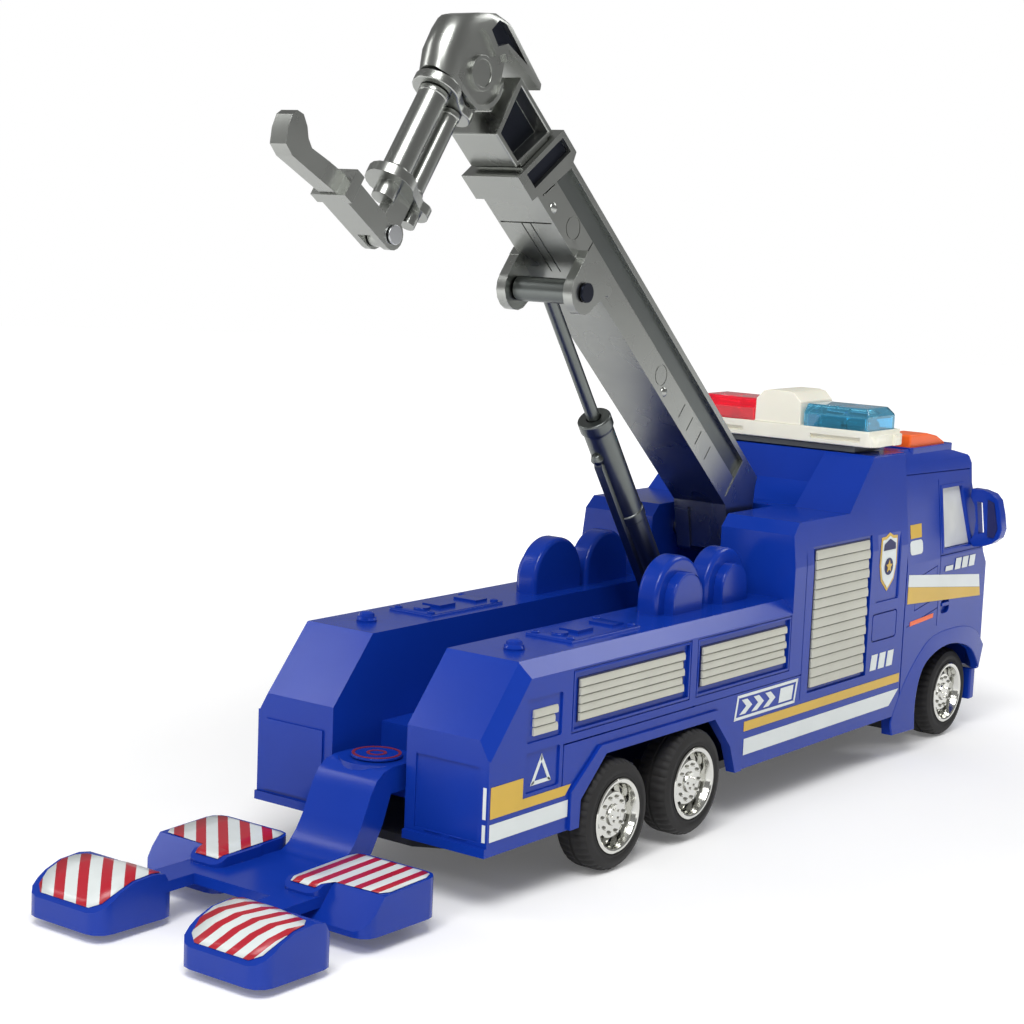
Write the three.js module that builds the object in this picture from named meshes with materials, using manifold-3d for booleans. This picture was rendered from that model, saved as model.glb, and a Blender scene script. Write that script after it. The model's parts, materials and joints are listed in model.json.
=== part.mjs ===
// Toy tow truck: six-wheel recovery truck with a raised telescopic boom, a lifting fork on its head
// and a wheel cradle on a swinging arm behind.  Millimetres, +X forward, +Y the truck's left, +Z up.
// Lengths along X are first measured from the rear axle; the whole group is then moved so that the
// origin is the middle of the bounding box's foot.
import * as THREE from "three";
import Module from "manifold-3d";
import { mergeVertices } from "three/addons/utils/BufferGeometryUtils.js";

const wasm = await Module();
wasm.setup();

// ---------------------------------------------------------------- driving dimensions (mm)
const GAP = 0.3; // clearance between neighbouring pieces
const WALL = 2.4; // moulded wall thickness

const TYRE_R = 17;
const TYRE_W = 12;
const RIM_R = 12;
const AXLE_R = 2;
const REAR_FACE_Y = 46.2; // outer face of the rear tyres
const FRONT_FACE_Y = 40; // outer face of the front tyres
const AXLES = [
  { name: "rear", x: 0, z: TYRE_R, face: REAR_FACE_Y },
  { name: "middle", x: 42.1, z: TYRE_R + 2, face: REAR_FACE_Y },
  { name: "front", x: 234.2, z: TYRE_R, face: FRONT_FACE_Y },
];

const HALF_W = 43.5; // body half width
const BODY_BOTTOM = 16.8;
const REAR_X = -61;
const BEVEL_Z = 49.5; // top of the upright rear faces
const BEVEL_X = -44.3; // rear end of the deck tops
const DECK_Z = 69.2;
const DECK_HALF_W = 39.7;
const HUMP = { y0: 20, y1: 27.5, boss: 31 }; // across the truck
const HUMPS = [
  [43.8, 70.8, 87],
  [73.4, 98.4, 86.8],
]; // rear end, front end and top
const CHANNEL_HALF_W = 14;
const CHANNEL_Z = 42; // floor of the boom channel
const POCKET_X = -40; // front end of the low pocket that holds the cradle arm's pivot
const POCKET_Z = 29;
const BLOCK_X = 103.5; // rear face of the shutter blocks
const BLOCK_Z = 94.8;
const SLOT_END_X = 138; // front end of the boom slot between the blocks
const BUTTRESS_X = 142.5;
const ROOF_X = 162.5; // rear edge of the roof
const ROOF_Z = 113.2;
const ROOF_HALF_W = 39.5;
const BODY_END_X = 185.6;
const CAB_X = 186.4;
const NOSE_X = 257.5;

// opening over a front wheel, wider behind the wheel than before it
const FRONT_ARCH = [
  [252.6, 0],
  [252.6, 19],
  [250.6, 26.6],
  [245.4, 32.8],
  [236.5, 36.8],
  [223, 38],
  [210.6, 36],
  [202.8, 31],
  [198.6, 23],
  [198.6, 0],
];
const SIDE_WINDOW = [
  [216, 74.8],
  [239.6, 74.8],
  [233, 97.8],
  [216, 97.8],
];
const BUTTON = [198, 228.5]; // along X
const BUTTON_Y = 30;

const BOOM_PIVOT = [120, 86];
const BOOM_ANGLE = 41.2; // degrees above level at rest
const BOOM_HALF_W = 10.5;
const BOOM_PIN_R = 2.6;
const BOOM_LOW = 2.3; // underside above the pivot, across the boom
const BOOM_TOP = 21.9;
const BOOM_COLLAR_X = 163; // start of the collar, along the boom from the pivot
const CLEVIS = [133.8, -5]; // along and across the boom
const CLEVIS_R = 6.8;
const CLEVIS_IN = 10.9; // inner face of each clevis ear
const CLEVIS_PIN_R = 1.4;
const CLEVIS_BORE_R = 2.85; // wide bore of the ram's cross tube
const INNER_HALF_W = 8.4;
const INNER_LOW = 5;
const INNER_TOP = 19.6;
const HEAD_PIVOT = [207.5, 13.1];
const FORK_AT = [210.8, 10.1]; // origin of the fork's own drawing
const HEAD_HALF_W = 6.2;
const HEAD_PIN_R = 2.5;
const HEAD_TILT = 16; // degrees the head can fold inwards
const CLAW_PIN_R = 1.5;
const FORK_TILT = 34.96; // degrees: lean of the fork posts from upright at rest
const RAM_PIVOT = [101.6, 47.6];
const RAM_R = 5;
const RAM_ROD_R = 2.2;
const RAM_PIN_R = 2;

const CRADLE_PIVOT_X = -57.5;
const CRADLE_ARM_HALF_W = 11;
const CRADLE_HUB_TOP = 37;
const CRADLE_TONGUE_R = 5;

// ---------------------------------------------------------------- materials
const paint = (color, roughness, metalness = 0) =>
  new THREE.MeshStandardMaterial({ color, roughness, metalness });
const BLUE = paint(0x1a2fa0, 0.35);
const BLACK = paint(0x17181b, 0.55);
const RUBBER = paint(0x1b1c1d, 0.85);
const PLATED = paint(0xb9bcbe, 0.22, 1);
const CHROME = paint(0xdadcde, 0.12, 1);
const GREY = paint(0x4a4d4e, 0.6);
const SILVER = paint(0xb8b8ae, 0.5);
const CREAM = paint(0xd9d6c4, 0.5);
const RED = paint(0xd6263c, 0.15);
const CYAN = paint(0x2c8fae, 0.12);
const ORANGE = paint(0xf0601c, 0.45);
const TINT = paint(0x1c2026, 0.15);
const STEEL = paint(0xa8abad, 0.3, 1);
const BOARD = paint(0x1d6b3c, 0.6);

// ---------------------------------------------------------------- shape helpers
function solid(geometry) {
  const bare = geometry.index ? geometry.toNonIndexed() : geometry.clone();
  for (const key of Object.keys(bare.attributes)) {
    if (key !== "position") bare.deleteAttribute(key);
  }
  const merged = mergeVertices(bare, 1e-4);
  return new wasm.Manifold(
    new wasm.Mesh({
      numProp: 3,
      vertProperties: merged.attributes.position.array,
      triVerts: new Uint32Array(merged.index.array),
    }),
  );
}

function geometryOf(made) {
  const mesh = made.getMesh();
  const geometry = new THREE.BufferGeometry();
  geometry.setAttribute("position", new THREE.BufferAttribute(mesh.vertProperties, 3));
  geometry.setIndex(new THREE.BufferAttribute(mesh.triVerts, 1));
  const flat = geometry.toNonIndexed();
  flat.computeVertexNormals();
  return flat;
}

const join = (...parts) => parts.reduce((a, b) => a.add(b));
const cut = (from, ...tools) => tools.reduce((a, b) => a.subtract(b), from);
const both = (a, b) => a.intersect(b);

// A closed outline of [x, z] pairs, drawn out along Y between y0 and y1.
function side(outline, y0, y1, holes = []) {
  const shape = new THREE.Shape(outline.map(([x, z]) => new THREE.Vector2(x, z)));
  shape.holes = holes.map((h) => new THREE.Path(h.map(([x, z]) => new THREE.Vector2(x, z))));
  const geometry = new THREE.ExtrudeGeometry(shape, { depth: y1 - y0, bevelEnabled: false });
  geometry.rotateX(Math.PI / 2);
  geometry.translate(0, y1, 0);
  return solid(geometry);
}

// A closed outline of [x, y] pairs, drawn up between z0 and z1.
function plan(outline, z0, z1) {
  const shape = new THREE.Shape(outline.map(([x, y]) => new THREE.Vector2(x, y)));
  const geometry = new THREE.ExtrudeGeometry(shape, { depth: z1 - z0, bevelEnabled: false });
  geometry.translate(0, 0, z0);
  return solid(geometry);
}

// A closed outline of [y, z] pairs, drawn out along X between x0 and x1.
function section(outline, x0, x1) {
  const shape = new THREE.Shape(outline.map(([y, z]) => new THREE.Vector2(y, z)));
  const geometry = new THREE.ExtrudeGeometry(shape, { depth: x1 - x0, bevelEnabled: false });
  geometry.rotateX(Math.PI / 2);
  geometry.rotateZ(Math.PI / 2);
  geometry.translate(x0, 0, 0);
  return solid(geometry);
}

function box(x0, x1, y0, y1, z0, z1) {
  const geometry = new THREE.BoxGeometry(x1 - x0, y1 - y0, z1 - z0);
  geometry.translate((x0 + x1) / 2, (y0 + y1) / 2, (z0 + z1) / 2);
  return solid(geometry);
}

// A round bar along Y, centred on x, z.
function barY(r, y0, y1, x, z, sides = 24) {
  const geometry = new THREE.CylinderGeometry(r, r, y1 - y0, sides);
  geometry.translate(x, (y0 + y1) / 2, z);
  return solid(geometry);
}

// A round bar along Z, centred on x, y.
function barZ(r, z0, z1, x, y, sides = 24) {
  const geometry = new THREE.CylinderGeometry(r, r, z1 - z0, sides);
  geometry.rotateX(Math.PI / 2);
  geometry.translate(x, y, (z0 + z1) / 2);
  return solid(geometry);
}

// A profile of [radius, y] pairs turned about the Y axis.
function turned(profile, sides) {
  const points = profile.map(([r, y]) => new THREE.Vector2(r, y));
  return solid(new THREE.LatheGeometry(points, sides));
}

// Points on an arc in a plane, from angle a0 to a1 in degrees.
function arc(cx, cz, r, a0, a1, steps) {
  const points = [];
  for (let i = 0; i <= steps; i += 1) {
    const a = THREE.MathUtils.degToRad(a0 + ((a1 - a0) * i) / steps);
    points.push([cx + r * Math.cos(a), cz + r * Math.sin(a)]);
  }
  return points;
}

const rectangle = (a0, a1, b0, b1) => [
  [a0, b0],
  [a1, b0],
  [a1, b1],
  [a0, b1],
];

// The same solid on the other side of the truck.
function mirrored(made) {
  const mesh = made.getMesh();
  const positions = new Float32Array(mesh.vertProperties);
  const order = new Uint32Array(mesh.triVerts);
  for (let i = 1; i < positions.length; i += 3) positions[i] = -positions[i];
  for (let i = 0; i < order.length; i += 3) {
    const keep = order[i];
    order[i] = order[i + 1];
    order[i + 1] = keep;
  }
  return new wasm.Manifold(new wasm.Mesh({ numProp: 3, vertProperties: positions, triVerts: order }));
}

const pair = (made) => join(made, mirrored(made));

const truck = new THREE.Group();

function place(parent, name, made, material) {
  const mesh = new THREE.Mesh(geometryOf(made), material);
  mesh.name = name;
  parent.add(mesh);
}

// ---------------------------------------------------------------- body shell
function bodyShell() {
  const outline = [
    [REAR_X, BODY_BOTTOM],
    [BODY_END_X, BODY_BOTTOM],
    [BODY_END_X, ROOF_Z],
    [ROOF_X, ROOF_Z],
    [BUTTRESS_X, BLOCK_Z],
    [BLOCK_X + 4, BLOCK_Z],
    [BLOCK_X, BLOCK_Z - 4],
    [BLOCK_X, DECK_Z],
    [BEVEL_X, DECK_Z],
    [REAR_X, BEVEL_Z],
  ];
  const w = HALF_W;
  const lowSection = [
    [-w, 0],
    [w, 0],
    [w, DECK_Z - 4.5],
    [DECK_HALF_W, DECK_Z],
    [DECK_HALF_W, DECK_Z + 1],
    [-DECK_HALF_W, DECK_Z + 1],
    [-DECK_HALF_W, DECK_Z],
    [-w, DECK_Z - 4.5],
  ];
  const highSection = [
    [-w, 0],
    [w, 0],
    [w, 80],
    [ROOF_HALF_W + 0.4, ROOF_Z - 0.8],
    [ROOF_HALF_W - 0.4, ROOF_Z + 1],
    [-ROOF_HALF_W + 0.4, ROOF_Z + 1],
    [-ROOF_HALF_W - 0.4, ROOF_Z - 0.8],
    [-w, 80],
  ];
  const limits = join(section(lowSection, REAR_X, BLOCK_X), section(highSection, BLOCK_X, BODY_END_X));
  let shell = both(side(outline, -w, w), limits);

  // channel, pivot pocket and boom slot
  const half = CHANNEL_HALF_W;
  shell = cut(
    shell,
    box(POCKET_X, SLOT_END_X, -half, half, CHANNEL_Z, ROOF_Z + 9),
    box(REAR_X - 1, POCKET_X + 1, -half, half, POCKET_Z, ROOF_Z),
    // recess in the rear wall of the cab block, between the buttresses
    side(
      [
        [BUTTRESS_X - 9, BLOCK_Z],
        [ROOF_X - 12, BLOCK_Z],
        [ROOF_X - 2.5, BLOCK_Z + 7],
        [ROOF_X, ROOF_Z + 1],
        [BUTTRESS_X - 9, ROOF_Z + 1],
      ],
      -20,
      20,
    ),
  );

  // inside: hollow boxes beside the channel, in the blocks and under the roof, open below
  const inner = half + WALL;
  const t = WALL;
  const hollow = [
    [REAR_X + t, -10],
    [BODY_END_X - t, -10],
    [BODY_END_X - t, ROOF_Z - t],
    [ROOF_X + 1, ROOF_Z - t],
    [BUTTRESS_X + 1.6, BLOCK_Z - t],
    [BLOCK_X + t, BLOCK_Z - t],
    [BLOCK_X + t, DECK_Z - t],
    [BEVEL_X + 1, DECK_Z - t],
    [REAR_X + t, BEVEL_Z - 1],
  ];
  const sideLimit = join(
    section(rectangle(inner, w - t, -10, DECK_Z), REAR_X, BLOCK_X + t),
    section(rectangle(inner, w - t, -10, 86), BLOCK_X + t - 1, BODY_END_X),
    section(rectangle(22.5, ROOF_HALF_W - t, 84, ROOF_Z), BLOCK_X + t, BODY_END_X),
  );
  const pocket = both(side(hollow, 0, w), sideLimit);
  shell = cut(
    shell,
    pair(pocket),
    box(POCKET_X + t, BODY_END_X - t, -inner - 1, inner + 1, -10, CHANNEL_Z - t),
    box(REAR_X + t, POCKET_X + t + 1, -inner - 1, inner + 1, -10, POCKET_Z - t),
    box(SLOT_END_X + t, BODY_END_X - t, -inner - 1, inner + 1, 0, BLOCK_Z - t),
    box(ROOF_X + 3, BODY_END_X - t, -23, 23, 0, ROOF_Z - t),
  );

  // tandem wheel arch, shutter and louvre recesses
  const arch = [
    [-18.6, 0],
    [-17.6, 25.1],
    [-5.2, 36.8],
    [55.5, 36.8],
    [65.6, 26.3],
    [69.5, 16.8],
    [69.5, 0],
  ];
  shell = cut(shell, side(arch, -w - 1, w + 1));
  const recess = (x0, x1, z0, z1) => pair(box(x0, x1, w - 1, w + 1, z0, z1));
  shell = cut(
    shell,
    recess(116.2, 158.2, 35.6, 85.9),
    recess(-21.4, 40, 46.4, 63.2),
    recess(45.6, 102, 46.4, 63.2),
  );

  // arch lip, sill and rear bumper ledge
  const lip = [
    [-22.4, BODY_BOTTOM],
    [-22.4, 28.3],
    [-8, 39.6],
    [57.7, 39.6],
    [69, 27.6],
    [73.5, BODY_BOTTOM],
  ];
  const lipRing = cut(side(lip, w - 0.5, w + 1), side(arch, w - 2, w + 2));
  shell = join(shell, pair(lipRing));
  const ledge = cut(
    box(REAR_X - 1, REAR_X + 1, -w, w, BODY_BOTTOM, BODY_BOTTOM + 2.6),
    box(REAR_X - 2, REAR_X + 2, -half, half, 0, 60),
  );
  shell = join(shell, ledge);
  shell = cut(shell, box(REAR_X - 2, CRADLE_PIVOT_X + 1, -half, half, 0, POCKET_Z + 1));
  shell = join(shell, barZ(CRADLE_TONGUE_R, POCKET_Z - WALL, POCKET_Z, CRADLE_PIVOT_X, 0));

  // bevel along the outer edge of the sloped rear end
  const slope = Math.atan2(DECK_Z - BEVEL_Z, BEVEL_X - REAR_X);
  const wedge = [
    [w - 3.8, 0.25],
    [w + 0.5, -4.6],
    [w + 2, 0.25],
  ];
  const shave = section(wedge, -4, 30).rotate([0, -THREE.MathUtils.radToDeg(slope), 0]);
  shell = cut(shell, pair(shave.translate([REAR_X, 0, BEVEL_Z])));

  // deck furniture: rounded humps with a boss on the outer side, studs and raised hatch plates
  const hump = (x0, x1, top) => {
    const r = (x1 - x0) / 2;
    const mid = (x0 + x1) / 2;
    const drum = (radius, y0, y1) => {
      const round = arc(mid, top - r, radius, 0, 180, 12);
      return side([[mid + radius, DECK_Z - 1], ...round, [mid - radius, DECK_Z - 1]], y0, y1);
    };
    const { y0, y1, boss } = HUMP;
    return join(drum(r - 1.3, y0, y1), drum(r - 0.2, y0 + 1.1, y1 - 1.1), drum(r - 5, y1 - 1, boss));
  };
  for (const [x0, x1, top] of HUMPS) shell = join(shell, pair(hump(x0, x1, top)));
  const stud = join(barZ(3, DECK_Z - 1, DECK_Z + 1.6, -31, 28, 16), barZ(2.1, DECK_Z, DECK_Z + 2.5, -31, 28, 16));
  const plate = box(-12, 24, 18, 35, DECK_Z - 1, DECK_Z + 0.8);
  shell = join(shell, pair(stud), pair(plate));

  // bosses and bores of the boom pivot, the ram pivot and the cradle pivot
  const [px, pz] = BOOM_PIVOT;
  const [rx, rz] = RAM_PIVOT;
  shell = cut(shell, barY(BOOM_PIN_R + GAP, -30, 30, px, pz), barY(RAM_PIN_R + GAP, -30, 30, rx, rz));
  shell = cut(shell, barZ(3 + GAP, 0, POCKET_Z + 3, CRADLE_PIVOT_X, 0));
  return shell;
}
place(truck, "body_shell", bodyShell(), BLUE);

// ---------------------------------------------------------------- chassis and wheels
function chassis() {
  const outline = [
    [-56, -13],
    [-46, -30],
    [206, -30],
    [214, -24],
    [250, -24],
    [250, 24],
    [214, 24],
    [206, 30],
    [-46, 30],
    [-56, 13],
  ];
  let base = plan(outline, 12.6, 15.4);
  base = join(base, pair(box(189.4, 191.6, 20, 37.4, 9.6, 24)));
  for (const { x, z, face } of AXLES) {
    const outer = face - TYRE_W - 2.6;
    const block = box(x - 5.5, x + 5.5, outer - 5, outer, 13, z + 5.5);
    base = join(base, pair(block));
    base = cut(base, barY(AXLE_R + GAP, -40, 40, x, z, 20));
  }
  const batteryBay = box(112, 160, -14, 14, 10, 14.2);
  return cut(base, batteryBay);
}
place(truck, "chassis", chassis(), BLACK);
place(truck, "battery_cover", box(112.3, 159.7, -13.7, 13.7, 12.2, 13.9), BLACK);
place(truck, "circuit_board", box(170, 182.6, -30, 30, 60, 61.6), BOARD);
place(truck, "speaker", join(barZ(14, 15.8, 19, 146, 0, 28), barZ(9, 18.5, 22.5, 146, 0, 24)), BLACK);


const tyreProfile = (w) => [
  [RIM_R - 0.6, 0],
  [TYRE_R - 2, 0],
  [TYRE_R, 2],
  [TYRE_R, w - 2],
  [TYRE_R - 2, w],
  [RIM_R - 0.6, w],
  [RIM_R - 0.6, 0],
];
// Rim: a dished disc on a drum, its outer side towards +Y.
const rimProfile = (w) => {
  const r = RIM_R - 0.6 - GAP / 2;
  return [
    [AXLE_R + 0.05, w - 4],
    [AXLE_R + 0.05, w - 10],
    [4.2, w - 10],
    [4.2, w - 5.6],
    [r - 1.6, w - 5.6],
    [r - 1.6, 1],
    [r, 1],
    [r, w + 0.1],
    [r - 1.2, w + 0.1],
    [r - 2.4, w - 2.8],
    [4.4, w - 2.6],
    [2.6, w - 0.2],
    [0, w],
    [0, w - 4],
    [AXLE_R + 0.05, w - 4],
  ];
};

for (const { name, x, z, face } of AXLES) {
  const inner = face - TYRE_W;
  const tyre = turned(tyreProfile(TYRE_W), 30);
  const rim = turned(rimProfile(TYRE_W), 20);
  for (const [hand, made] of [["left", (m) => m], ["right", mirrored]]) {
    const at = (m) => {
      const g = geometryOf(m);
      g.translate(0, inner, 0);
      const moved = made(solid(g));
      const h = geometryOf(moved);
      h.translate(x, 0, z);
      return solid(h);
    };
    place(truck, `tyre_${name}_${hand}`, at(tyre), RUBBER);
    place(truck, `rim_${name}_${hand}`, at(rim), CHROME);
  }
  const reach = face - 4.4;
  place(truck, `axle_${name}`, barY(AXLE_R, -reach, reach, x, z, 16), STEEL);
}

// ---------------------------------------------------------------- cab
function cabOutline(inset) {
  const t = inset;
  return [
    [CAB_X + t, BODY_BOTTOM + 1 - 30 * Math.sign(t)],
    [CAB_X + t, ROOF_Z - t],
    [206, ROOF_Z - t],
    [230, 110.9 - t],
    [239.6 - t, 108.8 - t],
    [242 - t, 105.4],
    [241.6 - t, 98],
    [250 - t, 71],
    [253.2 - t, 66.5],
    [256.5 - t, 50],
    [NOSE_X - t, 40],
    [NOSE_X - t, 25 - 30 * Math.sign(t)],
  ];
}

function cabShell() {
  const w = HALF_W;
  const trim = (t) => [
    [-w + t, -20],
    [w - t, -20],
    [w - t, 72],
    [ROOF_HALF_W - t + 0.2, 108],
    [ROOF_HALF_W - 4, ROOF_Z + 0.5 - t],
    [-ROOF_HALF_W + 4, ROOF_Z + 0.5 - t],
    [-ROOF_HALF_W + t - 0.2, 108],
    [-w + t, 72],
  ];
  const outer = both(side(cabOutline(0), -w, w), section(trim(0), CAB_X, NOSE_X + 1));
  // front corners cut back in plan
  const corner = plan(
    [
      [NOSE_X - 5, w + 1],
      [NOSE_X + 2, w - 7],
      [NOSE_X + 2, w + 1],
    ],
    0,
    ROOF_Z + 5,
  );
  let shell = cut(outer, pair(corner));
  const inner = both(side(cabOutline(WALL), -w, w), section(trim(WALL), CAB_X, NOSE_X));
  shell = cut(shell, cut(inner, pair(plan(
    [
      [NOSE_X - 9, w + 1],
      [NOSE_X + 2, w - 12],
      [NOSE_X + 2, w + 1],
    ],
    -20,
    ROOF_Z + 5,
  ))));
  shell = cut(shell, side(FRONT_ARCH, -w - 1, w + 1));
  // leg of the wheel arch, which hangs behind the wheel as a flap
  const leg = [
    [182.6, 9.4],
    [198.3, 9.2],
    [198.4, 20],
    [197.6, 34],
    [188.6, 34],
    [186.8, 16.2],
    [181.6, 16.2],
  ];
  shell = join(shell, pair(side(leg, w - 4.4, w - 0.4)));
  // side window openings, windscreen opening and roof button seats
  shell = cut(shell, pair(side(SIDE_WINDOW, w - 6, w + 2)));
  shell = cut(shell, box(238, 258, -36, 36, 74, 101));
  for (const s of [-1, 1]) {
    shell = cut(shell, box(BUTTON[0] - GAP, BUTTON[1] + GAP, s * BUTTON_Y - 5.5 - GAP, s * BUTTON_Y + 5.5 + GAP, 100, 120));
  }
  return shell;
}

place(truck, "cab_shell", cabShell(), BLUE);

for (const [hand, s] of [["left", 1], ["right", -1]]) {
  const own = (made) => (s > 0 ? made : mirrored(made));
  const shrunk = SIDE_WINDOW.map(([x, z]) => [x + (x < 225 ? GAP : -GAP), z + (z < 85 ? GAP : -GAP)]);
  const slab = [
    [41, 70],
    [42.6, 70],
    [39.4, 100],
    [37.8, 100],
  ];
  const pane = both(side(shrunk, 30, 50), section(slab, 200, 250));
  place(truck, `side_window_${hand}`, own(pane), SILVER);

  // door mirror: an upright loop on the front corner of the cab
  const loop = cut(
    section(roundedOutline(43.8, 57, 74, 96, 3), 238, 242.5),
    section(roundedOutline(45.6, 49.2, 78.5, 91.5, 1.4), 230, 250),
  );
  place(truck, `mirror_${hand}`, own(loop), BLUE);

  // roller shutter and the two long louvre panels
  const slats = (x0, x1, z0, z1, count, out) => {
    const step = (z1 - z0) / count;
    const outline = [[out - 0.9, z0]];
    for (let i = 0; i < count; i += 1) {
      outline.push([out, z0 + i * step], [out, z0 + (i + 0.8) * step], [out - 0.35, z0 + (i + 0.86) * step]);
      outline.push([out - 0.35, z0 + (i + 0.99) * step]);
    }
    outline.push([out - 0.9, z1 - 0.01 * step]);
    return section(outline, x0, x1);
  };
  const face = HALF_W - 1 + GAP + 0.9;
  place(truck, `shutter_${hand}`, own(slats(117.6, 156.8, 37, 84.6, 14, face)), SILVER);
  place(truck, `louvre_rear_${hand}`, own(slats(-19, 37.8, 48.4, 61, 5, face)), SILVER);
  place(truck, `louvre_front_${hand}`, own(slats(47.9, 100.4, 48.4, 61, 5, face)), SILVER);

  // push button in the roof
  const button = join(
    side(
      [
        [BUTTON[0], 105],
        [BUTTON[1], 105],
        [BUTTON[1], 112],
        [BUTTON[1] - 2.5, 114.4],
        [BUTTON[1] - 8.5, 116.8],
        [BUTTON[0] + 14, 118.2],
        [BUTTON[0], 118.2],
      ],
      BUTTON_Y - 5.5,
      BUTTON_Y + 5.5,
    ),
    box(BUTTON[0] - 1.6, BUTTON[1] + 1.6, BUTTON_Y - 7, BUTTON_Y + 7, 103.4, 105.2),
  );
  place(truck, `roof_button_${hand}`, own(button), ORANGE);
}

function roundedOutline(a0, a1, b0, b1, r) {
  return [
    ...arc(a1 - r, b0 + r, r, -90, 0, 3),
    ...arc(a1 - r, b1 - r, r, 0, 90, 3),
    ...arc(a0 + r, b1 - r, r, 90, 180, 3),
    ...arc(a0 + r, b0 + r, r, 180, 270, 3),
  ];
}

const windscreen = side(
  [
    [240.4, 101 - GAP],
    [238.6, 101 - GAP],
    [243.9, 74 + GAP],
    [247.2, 74 + GAP],
    [243.6, 92],
  ],
  -36 + GAP,
  36 - GAP,
);
place(truck, "windscreen", windscreen, TINT);

const bumper = cut(
  plan(
    [
      [251, -26],
      [251, 26],
      [252, 41],
      [256, 41],
      [259.5, 36],
      [259.5, -36],
      [256, -41],
      [252, -41],
    ],
    11.5,
    24,
  ),
  box(240, 257.8, -24.4, 24.4, 12, 30),
);
place(truck, "front_bumper", bumper, BLACK);

// ---------------------------------------------------------------- light bar
const BAR = { x0: 161, x1: 185.6, halfW: 39.6, base: 116, shelf: 121.6, lens: 129.4, hump: 133.4 };
const LENS_END = 35.8;
const barBase = plan(roundedOutline(BAR.x0, BAR.x1, -BAR.halfW, BAR.halfW, 4), BAR.base, BAR.shelf);
const barHump = section(
  [
    [-9.5, BAR.shelf - 1],
    [9.5, BAR.shelf - 1],
    [9.3, BAR.hump - 3.6],
    [6.4, BAR.hump - 0.6],
    [4, BAR.hump],
    [-4, BAR.hump],
    [-6.4, BAR.hump - 0.6],
    [-9.3, BAR.hump - 3.6],
  ],
  BAR.x0 + 0.5,
  BAR.x1 - 0.5,
);
const barSeat = box(BAR.x0 + 1.4, BAR.x1 - 1.4, 9.8, LENS_END + GAP, BAR.shelf - 2, BAR.shelf + 1);
place(truck, "light_bar_housing", cut(join(barBase, barHump), pair(barSeat)), CREAM);
place(
  truck,
  "light_bar_foot",
  box(163.5, 183, -31, 31, ROOF_Z + GAP, BAR.base - GAP),
  GREY,
);
for (const [hand, s, glass] of [["left", 1, RED], ["right", -1, CYAN]]) {
  const own = (made) => (s > 0 ? made : mirrored(made));
  const y0 = 10.1;
  const y1 = LENS_END;
  const x0 = BAR.x0 + 1.7;
  const x1 = BAR.x1 - 1.7;
  const dome = (t, top) =>
    both(
      section(
        [
          [y0 + t, BAR.shelf - 1.7],
          [y1 - t, BAR.shelf - 1.7],
          [y1 - t, top - 2.4],
          [y1 - t - 1.8, top],
          [y0 + t, top],
        ],
        x0 + t,
        x1 - t,
      ),
      side(
        [
          [x0 + t, 100],
          [x1 - t, 100],
          [x1 - t, top - 3],
          [x1 - t - 2.4, top],
          [x0 + t + 2.4, top],
          [x0 + t, top - 3],
        ],
        0,
        60,
      ),
    );
  const lens = cut(dome(0, BAR.lens), box(x0 + 1, x1 - 1, y0 + 1, y1 - 1, 100, BAR.lens - 3.4));
  place(truck, `lens_${hand}`, own(lens), glass);
  const cx = (x0 + x1) / 2;
  const lamp = join(
    box(x0 + 1.6, x1 - 1.6, y0 + 1.6, y1 - 1.6, BAR.shelf - 1.6, BAR.shelf - 0.4),
    barY(2.6, y0 + 1.8, y1 - 1.8, cx - 4, BAR.shelf + 1, 14),
  );
  place(truck, `reflector_${hand}`, own(lamp), CHROME);
}

// ---------------------------------------------------------------- boom
// Pieces of the boom are drawn with X along it from its pivot towards the tip and Z across it.
const boomFrame = new THREE.Group();
{
  const a = THREE.MathUtils.degToRad(BOOM_ANGLE);
  const along = new THREE.Vector3(-Math.cos(a), 0, Math.sin(a));
  const across = new THREE.Vector3(Math.sin(a), 0, Math.cos(a));
  const sideways = new THREE.Vector3().crossVectors(across, along);
  const matrix = new THREE.Matrix4().makeBasis(along, sideways, across);
  matrix.setPosition(BOOM_PIVOT[0], 0, BOOM_PIVOT[1]);
  boomFrame.applyMatrix4(matrix);
}
truck.add(boomFrame);

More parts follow.
